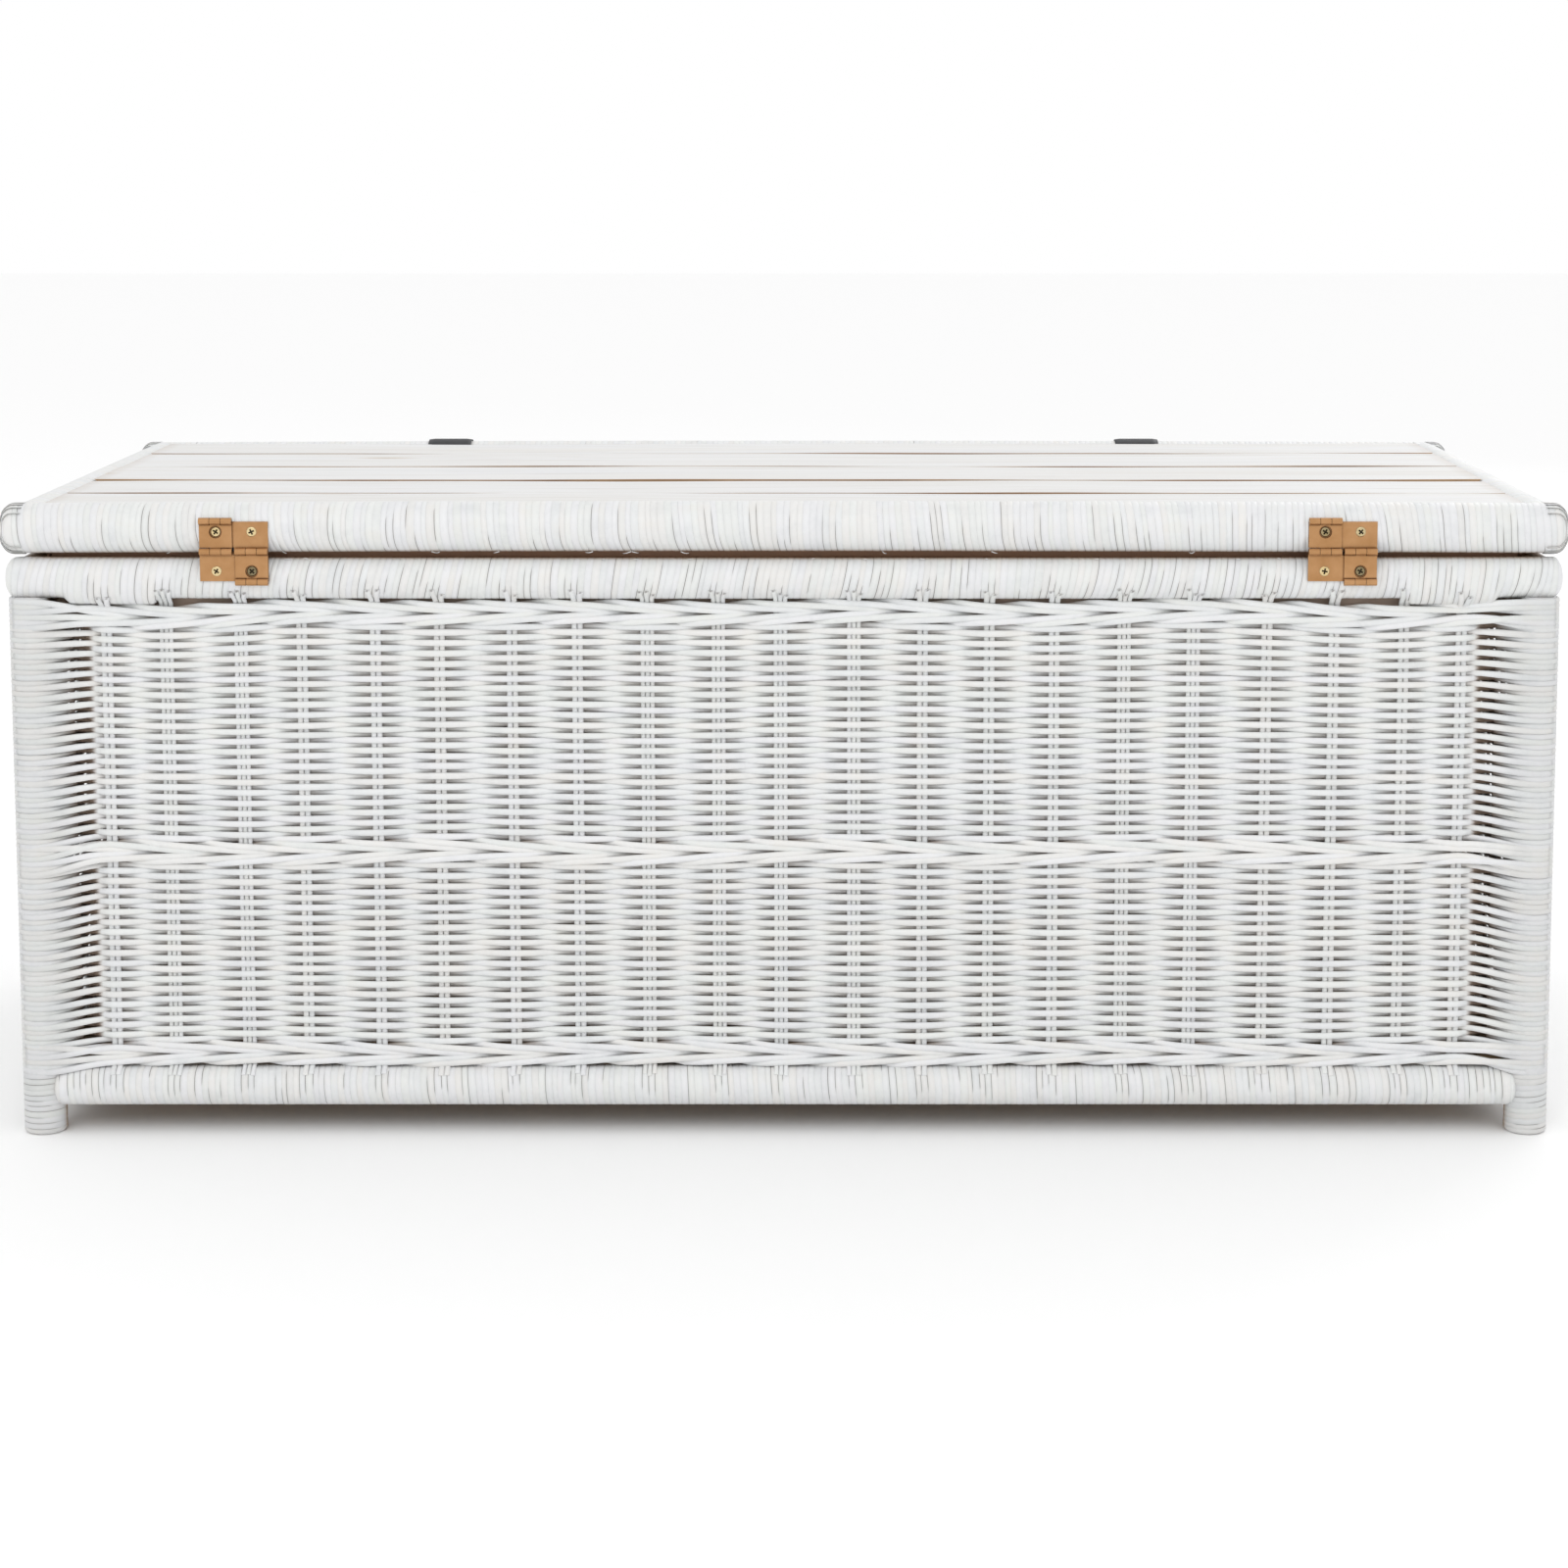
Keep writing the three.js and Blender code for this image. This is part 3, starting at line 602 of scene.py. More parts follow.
def twined_band(pile, wall, number, middle):
    random = dice(f"band{wall.name}{number}")
    for row in range(BAND_ROWS):
        slant = 1 - 2 * row  # the two rows slant opposite ways, like a plait
        row_height = middle + (0.5 - row) * BAND_HEIGHT / 2
        for strand in range(WALE_STRANDS):
            s, d, rise = wale_line(wall, strand, slant)
            from_middle = (BAND_ROWS * WALE_STRANDS - 1) / 2 - row * WALE_STRANDS - strand
            stacked = middle - post_drop(middle) + from_middle * RING_PITCH
            left = wall.corner(-s[0], d[0], True) * [-1, 1]
            right = wall.corner(s[-1], d[-1], True)
            line = np.concatenate([left[:0:-1], np.stack([s, d], -1), right[1:]])
            band = row_height + np.concatenate([np.full(len(left) - 1, rise[0]), rise,
                                                np.full(len(right) - 1, rise[-1])])
            near_post = wall.near_post(line[:, 0])
            z = band * (1 - near_post) + stacked * near_post
            z = z + lift(line[:, 0] * wall.along.sum(), middle) * (1 - near_post)
            tint = draw_tint(random, 0.98, 1.03)
            wall.reed(pile, line, z, WALE_HEIGHT, tint)


TUCK_STEPS = 7
TOP_TUCK = -68  # where a stake reaches the top rail, in degrees up from straight out
LOW_TUCK = 58  # where it leaves the bottom rail


def hug(centre_d, centre_z, radius, start, end):
    """Points round a rail, by angle up from straight out, as (d, z) and their outward directions."""
    angle = np.radians(np.linspace(start, end, TUCK_STEPS))
    return [centre_d, centre_z] + np.reshape(radius, (-1, 1)) * rim(angle), rim(angle)


def stake_reed(wall, pile, s, offset, width, turns, tint, top_d, bottom_d):
    """One upright reed, its ends turned over the outside of the two rails and tucked in."""
    top_turn, low_turn = turns
    below = np.sin(np.radians(np.linspace(-TOP_TUCK, -top_turn, TUCK_STEPS))) ** 1.5
    top_reach = TOP_RAIL_RADIUS + 0.4 * MM + wall.swell(s) * below
    top, top_out = hug(top_d, TOP_RAIL[2], top_reach, TOP_TUCK, top_turn)
    low, low_out = hug(bottom_d, BOTTOM_RAIL[2], BOTTOM_RAIL_RADIUS + 0.1 * MM, low_turn, LOW_TUCK)
    upright_z = np.linspace(low[-1][1] + 4 * MM, top[0][1] - 4 * MM, 26)
    upright = np.stack([STAKE_OUT + 0.25 * MM * np.sin(upright_z * 90 + s * 40), upright_z], -1)
    line = np.concatenate([low, upright, top])
    away = np.concatenate([low_out, np.tile([1.0, 0.0], (len(upright), 1)), top_out])
    flat = np.concatenate([np.linspace(0.12, 0.75, len(low)), np.full(len(upright), 1.0),
                           np.linspace(0.85, 0.45, len(top))]) * STAKE_DEPTH
    spread = np.concatenate([np.zeros(len(low) + len(upright)), np.linspace(0, 1, len(top)) ** 1.5])
    side = np.sign(offset) * spread * 1.4 * MM
    path = wall.place(s + offset + side, line[:, 0], line[:, 1])
    thick = away[:, :1] * wall.out + away[:, 1:] * UP

    def tones(points):
        # painted shade: the reed darkens at its tip on the top rail, where it tucks in under the wrapping
        tuck_shade = 0.9 - 0.9 * smooth(0.5 * MM, 1.8 * MM, np.linalg.norm(points - path[-1], axis=-1))
        return mix(wall.tone(tint)(points), SEAM_AND_SHADE, tuck_shade)
    pile.tube(path, wall.along, thick, width, flat, tones)


def stakes(wall):
    pile = Pile()
    random = dice("reeds" + wall.name)
    rail_d = (TOP_RAIL[1] - WEAVE_Y, BOTTOM_RAIL[1] - WEAVE_Y)
    for s in wall.stakes:
        count = 3 if random.random() < 0.22 else 2
        width = STAKE_WIDTH * (0.82 if count == 3 else 1)
        for k in range(count):
            offset = (k - (count - 1) / 2) * 2.1 * width
            tint = draw_tint(random, 0.93, 1.0)
            turns = (random.uniform(-46, -24), random.uniform(41, 50))
            stake_reed(wall, pile, s, offset, width, turns, tint, *rail_d)
    return pile


def rim_lath(wall):
    """A raw lath inside the weave, under the top rail, seen where the top band leaves the rail."""
    half = wall.post_s - 17 * MM
    line = np.linspace(-half, half, 40)
    top = TOP_RAIL[2] - TOP_RAIL_RADIUS + 4.5 * MM
    path = wall.place(line, -6.4 * MM, top - 13 * MM + 0.3 * MM * np.sin(line * 30))
    pile = Pile()
    pile.tube(path, wall.out, UP, 1.2 * MM, 13 * MM, RAW_REED, sides=12)
    pile.make(f"rim_lath_{wall.name}", wall.reed_surface, "trunk_body", "wicker")


def make_walls():
    lower, upper = field_rows()
    for wall in WALLS:
        weave_field(wall, lower, "lower")
        weave_field(wall, upper, "upper")
        bands = Pile()
        for number, middle in enumerate(BANDS):
            twined_band(bands, wall, number, middle)
        bands.make(f"twined_bands_{wall.name}", wall.reed_surface, "trunk_body", "wicker")
        stakes(wall).make(f"stakes_{wall.name}", REED_UPRIGHT, "trunk_body", "wicker")
        rim_lath(wall)


# ---- posts ----


def post_tone(corner, tint):
    """White darkened by painted shade on the two outer sides of a post, raw reed towards the inside of the
    trunk.
    """
    outward = np.sign(corner[:2])

    def tones(points):
        place = (points[..., :2] - corner[:2]) * outward
        depth = place.max(-1)
        return mix(RAW_REED, WHITE * tint * POST_PAINTED_SHADE, smooth(-4 * MM, 6 * MM, depth))
    return tones


def post_loop():
    """The plan of an extra turn round a post whose outer corner is towards +x +y, from its middle. It
    reaches past the post along both walls and comes back on the inside."""
    out_y = POST[1] + RING_RADIUS - WEAVE_Y  # how far the turn lies outside the weave
    tip = (-LOOP_REACH, WEAVE_Y - POST[1] - REED_SWING)
    inner = -INNER_RADIUS / math.sqrt(2)
    arc = RING_RADIUS * rim(np.radians(np.linspace(90, 45, 5)))
    run = bezier(tip, (tip[0] * 0.75, tip[1] + 0.3 * out_y), (tip[0] * 0.42, RING_RADIUS),
                 (0, RING_RADIUS), 9)
    back = bezier((inner, inner), (inner - 3 * MM, inner + 1 * MM),
                  (tip[0] * 0.95, tip[1] - 5 * MM), tip, 6)
    half = np.concatenate([back[:-1], run[:-1], arc])
    return np.concatenate([half, half[-2:0:-1, ::-1]])


def post_loops(pile, corner, random):
    """The extra turns of reed that fill the post between the rows that pass round it."""
    plan = post_loop() * np.sign(corner[:2])
    turned = np.prod(np.sign(corner[:2])) < 0
    plan = plan[::-1] if turned else plan
    ahead = unit(np.roll(plan, -1, axis=0) - np.roll(plan, 1, axis=0))
    side = np.stack([ahead[:, 1], -ahead[:, 0], np.zeros(len(plan))], -1)
    far = np.linalg.norm(plan, axis=1)
    for rows in field_rows():
        for height in rows[1::2]:
            drop = post_drop(height) * (1 - 0.45 * smooth(RING_RADIUS, LOOP_REACH, far))
            z = height - drop + random.normal(0, 0.12 * MM)
            path = np.concatenate([plan + corner[:2], z[:, None]], -1)
            tint = draw_tint(random, 0.97, 1.02)
            tall = REED_TIGHT - 0.5 * MM * smooth(RING_RADIUS, LOOP_REACH, far)
            pile.tube(path, side, UP, REED_DEPTH, tall, post_tone(corner, tint), closed=True)


def make_posts():
    for node in ("post_back_left", "post_back_right", "post_front_left", "post_front_right"):
        corner = centre_of(node)
        random = dice(node)
        pile = Pile()
        post_loops(pile, corner, random)
        pile.make(f"{node}_reed_turns", REED_ALONG_X, "trunk_body", "wicker")
        body = Pile()
        out = np.array([np.sign(corner[0]), np.sign(corner[1]), 0]) / math.sqrt(2)
        foot = corner * [1, 1, 0]
        # painted shade: the post's wrapping is coloured darker than the white elsewhere
        wrap = Wrap(foot, UP, out, POST_RADIUS, WEAVE_LOW + 1 * MM, random, strip=FINE_STRIP, dark_share=0.6,
                    dark_angle=0, fillets=(2.5 * MM, 0), bare=(180, 55), paint=WHITE * POST_PAINTED_SHADE)
        wrap.build(body)
        core_low = WEAVE_LOW + 0.5 * MM
        core = Wrap(foot + UP * core_low, UP, out, RING_RADIUS - 0.6 * REED_DEPTH,
                    POST_TOP - 2 * MM - core_low, random, strip=9 * MM, bare=(180, 60))
        core.build(body)
        body.make(f"{node}_wrapped", PEEL, "trunk_body", "cane_peel", [node])


# ---- poles wrapped in cane peel ----


class Wrap:
    """Flat cane peel wound round a straight pole. Angles go from out (0) towards axis x out (90)."""

    def __init__(self, start, axis, out, radius, length, random, **style):
        self.start = np.array(start, float)
        self.axis = np.array(axis, float)
        self.out = np.array(out, float)
        self.side = np.cross(self.axis, self.out)
        self.radius = radius
        self.length = length
        self.random = random
        self.strip = STRIP_WIDTH
        self.paint = WHITE
        self.fillets = (0, 0)
        self.bare = None  # (middle, half width) in degrees of the unpainted side
        self.painted_ends = -1  # how far from its ends the bare side starts
        self.sites = []  # places along the pole where stakes tuck in
        self.site_angle = 0
        self.dark_share = 0.4
        self.dark_angle = 45  # the side where seams open most
        self.lean = 0  # how far a strip runs along the pole from its top to its middle
        self.curl = 0  # how much further it runs below the middle
        self.bow = 0  # how far the ends hang below the middle
        self.swell = None  # how far the wrapping is pushed down, by distance along the pole
        for key, value in style.items():
            setattr(self, key, value)

    def stations(self):
        """Distances along the pole of every ring, how deep each lies, which seam it is on (-1 for none),
        and how many strips there are."""
        count = max(3, round(self.length / self.strip))
        edges = np.linspace(0, self.length, count + 1)
        edges[1:-1] += self.random.uniform(-0.16, 0.16, count - 1) * self.strip
        shares = np.array([0.0, 0.075, 0.5, 0.925])
        depths = np.array([0.3, 0.03, 0.0, 0.03]) * MM
        widths = np.diff(edges)
        x = (edges[:-1, None] + shares * widths[:, None]).ravel()
        raised = np.repeat(self.random.uniform(0, 0.12, count) * MM, len(shares))
        sunk = np.tile(depths, count) + raised
        seam = np.where(np.tile(shares, count) == 0, np.repeat(np.arange(count), len(shares)), -1)
        return np.append(x, self.length), np.append(sunk, depths[0]), np.append(seam, count), count

    def fillet_radius(self, x):
        radius = np.full_like(x, self.radius)
        for fillet, distance in zip(self.fillets, (x, self.length - x)):
            if fillet:
                inside = np.clip(fillet - distance, 0, fillet)
                radius = np.minimum(radius, self.radius - fillet + np.sqrt(fillet ** 2 - inside ** 2))
        return radius

    def seam_weights(self, x, seam, angle, count):
        """How dark each seam is at each angle."""
        random = self.random
        strong = random.random(count + 1) < self.dark_share
        faint = random.uniform(0.0, 0.2, count + 1)
        strength = np.where(strong, random.uniform(0.7, 1.0, count + 1), faint)
        middle = math.radians(self.dark_angle) + random.normal(0, 0.7, count + 1)
        width = random.uniform(0.45, 2.0, count + 1)
        for site in self.sites:
            places = x[seam >= 0]
            near = np.argsort(np.abs(places - site))[:3]
            strength[near] = random.uniform(0.85, 1.0, 3)
            middle[near] = math.radians(self.site_angle) + random.uniform(-0.15, 0.15, 3)
            width[near] = random.uniform(0.35, 1.3, 3)
        number = np.maximum(seam, 0)
        off = apart(angle[None], middle[number][:, None])
        weight = strength[number][:, None] * (1 - smooth(0.7, 1.1, off / width[number][:, None]))
        weight = np.where((seam >= 0)[:, None], np.maximum(weight, 0.05), 0)
        beside = 0.08 * np.maximum(np.roll(weight, 1, axis=0), np.roll(weight, -1, axis=0))
        return np.maximum(weight, beside)

    def build(self, pile):
        x, sunk, seam, count = self.stations()
        angle = circle(WRAP_SIDES)
        out = np.cos(angle)[:, None] * self.out + np.sin(angle)[:, None] * self.side
        phase = self.random.uniform(0, PHASES)
        down = np.sin(angle)[None]
        sway = 1 + 0.35 * np.sin(x[:, None] * 23 + phase)
        tilt = sway * (self.lean * down + self.curl * np.maximum(down, 0) ** 2)
        tilt = tilt + 0.25 * self.strip * np.sin(x[:, None] * 41 + phase) * np.sin(angle[None] + phase)
        hold = smooth(0, 3.5 * self.strip, x) * smooth(0, 3.5 * self.strip, self.length - x)
        shifted = x[:, None] + tilt * hold[:, None]
        radius = (self.fillet_radius(x) - sunk)[:, None] * np.ones(WRAP_SIDES)
        if self.swell:
            radius = radius + self.swell(x)[:, None] * np.maximum(down, 0) ** 1.5
        points = self.start + shifted[..., None] * self.axis + radius[..., None] * out[None]
        from_middle = np.abs(2 * shifted / self.length - 1)
        points = points - (self.bow * (from_middle ** 2 - 0.4))[..., None] * UP
        strip_tint = TINTS[self.random.integers(len(TINTS), size=count + 1)]
        strip_tint = strip_tint * self.random.uniform(0.96, 0.995, (count + 1, 1))
        owner = np.minimum(np.cumsum(seam >= 0) - 1, count)
        tones = np.broadcast_to((self.paint * strip_tint[owner])[:, None], points.shape).copy()
        if self.bare:
            middle, half = np.radians(self.bare)
            bare = 1 - smooth(half * 0.75, half * 1.15, apart(angle, middle))
            from_end = np.minimum(x, self.length - x) - self.painted_ends
            tones = mix(tones, RAW_PEEL, bare * smooth(0, 16 * MM, from_end)[:, None])
        tones = mix(tones, SEAM_AND_SHADE, self.seam_weights(x, seam, angle, count))
        pile.net(points, tones, flip=True)


def end_strips(pile, rail_end, inward, across, radius, fillet, random):
    """Peel laid lengthways over a rail's rounded end, from its top face to its bottom face."""
    count = 7
    reach = 15 * MM
    quarter = np.linspace(0, math.pi / 2, 7)
    from_end = np.concatenate([np.linspace(reach, fillet, 3)[:-1], fillet * (1 - np.sin(quarter))])
    rounding = np.sqrt(np.maximum(fillet ** 2 - (fillet - from_end) ** 2, 0))
    radii = np.where(from_end < fillet, radius - fillet + rounding, radius)
    for k in range(count):
        y = (k - (count - 1) / 2) * (FINE_STRIP + 0.35 * MM)
        if abs(y) > radius - 2.2 * MM:
            continue
        keep = radii > abs(y) + 0.6 * MM
        half = np.stack([from_end[keep], np.sqrt(radii[keep] ** 2 - y ** 2)], -1)
        line = np.concatenate([half, half[::-1] * [1, -1]])
        normal = normals_of(line)
        if normal[0, 1] < 0:
            normal = -normal
        line = line + normal * 0.15 * MM
        path = rail_end + line[:, :1] * inward + y * across + line[:, 1:] * UP
        thick = normal[:, :1] * inward + normal[:, 1:] * UP
        tint = WHITE * draw_tint(random, 0.9, 1.0)

        def tones(points, tint=tint):
            turn = np.linspace(0, 2 * math.pi, points.shape[1], endpoint=False) % math.pi
            at_edge = np.minimum(turn, math.pi - turn) < 0.3
            dark = at_edge * random.uniform(0.6, 1.0, points.shape[0])[:, None]
            return mix(np.broadcast_to(tint, points.shape), SEAM_AND_SHADE, dark)
        pile.tube(path, across, thick, FINE_STRIP / 2, 0.4 * MM, tones, sides=10)


# How each kind of rail is wrapped: strips' lean and curl, the side left bare (middle and half width in
# degrees, 90 being down and 180 inward), the side where seams open, and how far its ends hang down.
RAIL_STYLES = {
    "lid_rail": {"lean": 0.8 * MM, "curl": 2.2 * MM, "bare": (118, 50), "dark_angle": 50,
                 "bow": 1.5 * MM},
    "body_top_rail": {"lean": -2.4 * MM, "bare": (-138, 64), "dark_angle": 25, "bow": -0.7 * MM},
    "body_bottom_rail": {"lean": 0.9 * MM, "bare": (180, 60), "dark_angle": -25},
}


def rail(kind, wall, body, fillet=0, site_angle=None):
    """One wrapped rail. The back lid rail's CAD box also holds its hinge seats, so its middle is taken
    from the front one."""
    node = f"{kind}_{wall.name}"
    low, high = corners_of(node)
    middle = (low + high) / 2
    if node == "lid_rail_back":
        middle[1] = -LID_RAIL[1]
    length = abs((high - low) @ wall.along)
    if kind == "body_bottom_rail":
        length -= 2 * BOTTOM_RAIL_TUCK
    start = middle - wall.along * length / 2
    radius = (high[2] - low[2]) / 2
    random = dice(node)
    wrap = Wrap(start, wall.along, wall.out, radius, length, random, **RAIL_STYLES[kind])
    long = fillet > 0
    end_drop = UP * wrap.bow * 0.6
    wrap.fillets = (fillet, fillet)
    if long:
        wrap.painted_ends = 10 * MM
    else:
        wrap.start = wrap.start - end_drop
        wrap.bow = 0
    if site_angle is not None:
        wrap.sites = [length / 2 + s for s in wall.stakes]
        wrap.site_angle = site_angle
    if kind == "body_top_rail":
        wrap.swell = lambda x: wall.swell(x - length / 2)
    if kind == "body_bottom_rail":
        wrap.fillets = (5 * MM, 5 * MM)
        for side in (-1, 1):
            for from_post in (24 * MM, 36 * MM):
                wrap.sites.append(length / 2 + side * (wall.post_s - from_post))
    pile = Pile()
    wrap.build(pile)
    if kind == "lid_rail" and long:
        for tip, inward in ((start, wall.along), (start + wall.along * length, -wall.along)):
            end_strips(pile, tip - end_drop, inward, wall.out, radius, fillet, random)
    return pile.make(f"{node}_wrapped", PEEL, body, "cane_peel", [node])


def make_frays():
    """Loose ends of peel in the gap under the back lid rail."""
    random = dice("frays")
    back = WALLS[0]
    lid_low = LID_RAIL[2] - LID_RAIL_RADIUS
    body_high = TOP_RAIL[2] + TOP_RAIL_RADIUS
    for body, height, sign in (("lid", lid_low + 1.2 * MM, -1), ("trunk_body", body_high - 1.2 * MM, 1)):
        pile = Pile()
        for s in random.uniform(-0.46, 0.46, 16):
            length = random.uniform(2, 6) * MM
            t = np.linspace(0, 1, 6)
            line = s + length * t * random.choice([-1, 1])
            out = TOP_RAIL[1] - WEAVE_Y + 5.5 * MM + 1.6 * MM * t
            rise = sign * random.uniform(0.5, 1.3) * MM * np.sin(t * random.uniform(1.5, 3))
            pile.tube(back.place(line, out, height + rise), back.out, UP, 0.16 * MM,
                      np.linspace(0.4, 0.12, 6) * MM, WHITE * 0.9, sides=6)
        pile.make(f"{body}_loose_peel", PEEL, body, "cane_peel")


def lid_bead(wall):
    """A raw cane bead along the inside of a lid rail, behind the gap under the lid."""
    rail_middle = centre_of(f"lid_rail_{wall.name}") @ wall.out
    if wall.name == "back":
        rail_middle = -LID_RAIL[1]
    half = (-LID_RAIL[1] if wall.along[1] else LID_SIDE_X) - 13 * MM
    s = np.linspace(-half, half, 60)
    bottom = TOP_RAIL[2] + TOP_RAIL_RADIUS - 2.4 * MM + 0.3 * MM * np.sin(s * 24)
    height = 5.2 * MM
    path = wall.place(s, rail_middle - wall.middle - 10 * MM, bottom + height)
    pile = Pile()
    pile.tube(path, wall.out, UP, 1.3 * MM, height, RAW_BEAD, sides=12)
    pile.make(f"lid_bead_{wall.name}", wall.reed_surface, "lid", "wicker")


def make_rails():
    for wall in WALLS:
        lid_bead(wall)
        long = wall.name in ("front", "back")
        rail("body_top_rail", wall, "trunk_body", 7 * MM * long, site_angle=52)
        rail("body_bottom_rail", wall, "trunk_body", site_angle=-38)
        rail("lid_rail", wall, "lid", 9 * MM * long)


# ---- lid planks ----

PLANK_FIT = 0.35 * MM  # gap round the lid rails
PLANK_EDGE = 0.5 * MM  # radius of a plank's top edges
STRAP_X = abs(centre_of("strap_right")[0])
NOTCH_HALF = size_of("strap_left")[0] / 2 + 1.5 * MM  # half width of a strap's notch in the front plank
NOTCH_FIT = 2.6 * MM
# How high each uneven board lies at its +x end and its -x end, mm.
PLANK_LIFTS = {1: (-0.15, 0.5), 2: (-0.05, -0.05), 3: (-0.1, -0.25), 4: (-0.85, -0.8), 5: (-0.7, -1.25)}
PLANK_TRIMS = {2: (0.0, 1.0), 3: (0.6, 0.9), 4: (1.0, 0.4)}  # planed off the front and back edges, mm


def plank_stations(notched):
    """Shares of half the lid's length where a plank has a cross-section, closer at a strap notch."""
    shares = np.linspace(-1, 1, 91)
    if notched:
        step = 2e-4  # a notch's side is this steep
        for side in (-1, 1):
            for edge in (STRAP_X - NOTCH_HALF, STRAP_X + NOTCH_HALF):
                place = side * edge / LID_SIDE_X
                shares = np.append(shares, [place - step, place + step])
    return np.sort(shares)


def plank_profile(low, high, cope_front, cope_back, clearance):
    """The outline of a plank across the lid, as (y, z, painted), starting under its front edge."""
    bottom, top = low[2], high[2]

    def cope(height):
        return abs(LID_RAIL[1]) - np.sqrt(clearance ** 2 - (height - LID_RAIL[2]) ** 2)

    def edge(side, coped):
        flat_y = high[1] if side > 0 else low[1]
        heights = np.linspace(bottom, top - PLANK_EDGE, 6)
        if coped:
            rows = [(side * cope(height), height, 0.0) for height in heights]
            return rows + [(side * cope(top), top, 1.0)]
        rows = [(flat_y, height, 0.0) for height in heights]
        for angle in np.radians([30, 60, 90]):
            inset = PLANK_EDGE * (1 - math.cos(angle))
            drop = PLANK_EDGE * (1 - math.sin(angle))
            rows.append((flat_y - side * inset, top - drop, smooth(0.5, 1.0, math.sin(angle))))
        return rows

    front = edge(-1, cope_front)
    back = edge(1, cope_back)
    crown = [(y, top, 1.0) for y in np.linspace(front[-1][0], back[-1][0], 14)[1:-1]]
    return np.array(front + crown + back[::-1], float)


def make_planks():
    """Boards between the lid rails, coped round them and lying a little unevenly."""
    for number in range(1, 6):
        node = f"lid_plank_{number}"
        low, high = corners_of(node)
        front_trim, back_trim = PLANK_TRIMS.get(number, (0, 0))
        low[1] += front_trim * MM
        high[1] -= back_trim * MM
        random = dice(node)
        rings, tones = [], []
        wander = random.uniform(0, PHASES, 2)
        for share in plank_stations(number == 1):
            at_strap = number == 1 and abs(abs(share * LID_SIDE_X) - STRAP_X) < NOTCH_HALF
            clearance = LID_RAIL_RADIUS + (NOTCH_FIT if at_strap else PLANK_FIT)
            profile = plank_profile(low, high, number == 1, number == 5, clearance)
            squared = (LID_RAIL_RADIUS + PLANK_FIT) ** 2 - (profile[:, 1] - LID_RAIL[2]) ** 2
            x = share * (LID_SIDE_X - np.sqrt(np.maximum(squared, 0)))
            wave = 0.25 * MM * np.sin(x * 11 + wander[0]) + 0.12 * MM * np.sin(x * 31 + wander[1])
            at_top = profile[:, 1] > high[2] - 2 * MM
            plus_end, minus_end = PLANK_LIFTS[number]
            lifted = (plus_end * (1 + share) + minus_end * (1 - share)) / 2 * MM
            z = profile[:, 1] + at_top * (wave + lifted)
            painted = profile[:, 2:] * (1 if abs(share) < 0.9999 else 0.8)
            rings.append(np.stack([x, profile[:, 0], z], -1))
            tones.append(np.repeat(painted, 3, axis=1))
        pile = Pile()
        pile.net(np.stack(rings), np.stack(tones))
        sharpen(pile.make(f"{node}_board", WHITEWASH, "lid", "whitewashed_wood", [node]), 38)


def sharpen(piece, degrees):
    """Splits the shading at edges sharper than this, so flat faces stay flat."""
    split = piece.modifiers.new("split", "EDGE_SPLIT")
    split.split_angle = math.radians(degrees)
    split.use_edge_sharp = False


# ---- plain wood ----


def finish_plain_wood():
    """The battens and the floor are the CAD nodes themselves, with their edges rounded a little."""
    for name, node in frame["nodes"].items():
        if name.startswith(("lid_batten", "floor_")):
            node.data.materials.clear()
            node.data.materials.append(PLAIN_WOOD)
            bevel = node.modifiers.new("edges", "BEVEL")
            bevel.width = 0.8 * MM
            bevel.segments = 2
            bevel.limit_method = "ANGLE"
            bevel.angle_limit = math.radians(35)


# ---- hinges ----


HINGE_SOFTENING = 0.28 * MM
HEAD_SIDES = 64
# The whole head of each listed screw is dimmed to this brightness, as painted shade. The others are at 1.
SHADED_SCREWS = {"hinge_right_screw_4": 0.3, "hinge_left_screw_4": 0.35, "hinge_left_screw_1": 0.5,
               "hinge_left_screw_2": 0.75}


def hinge_part(node, body):
    """A CAD node's shape with merged points, smooth knuckles and softened edges."""
    work = bmesh.new()
    work.from_mesh(frame["nodes"][node].data)
    bmesh.ops.remove_doubles(work, verts=work.verts, dist=0.01 * MM)
    bmesh.ops.dissolve_limit(work, angle_limit=math.radians(1), verts=work.verts, edges=work.edges)
    sharp = [e for e in work.edges if len(e.link_faces) == 2 and e.calc_face_angle() > math.radians(38)]
    bmesh.ops.bevel(work, geom=sharp, offset=HINGE_SOFTENING, segments=2, affect="EDGES",
                    clamp_overlap=True)
    bmesh.ops.recalc_face_normals(work, faces=work.faces)
    mesh = bpy.data.meshes.new(node + "_finished")
    work.to_mesh(mesh)
    work.free()
    for polygon in mesh.polygons:
        polygon.use_smooth = True
    sharpen(settle(node + "_finished", mesh, BRONZE, body, [node]), 30)


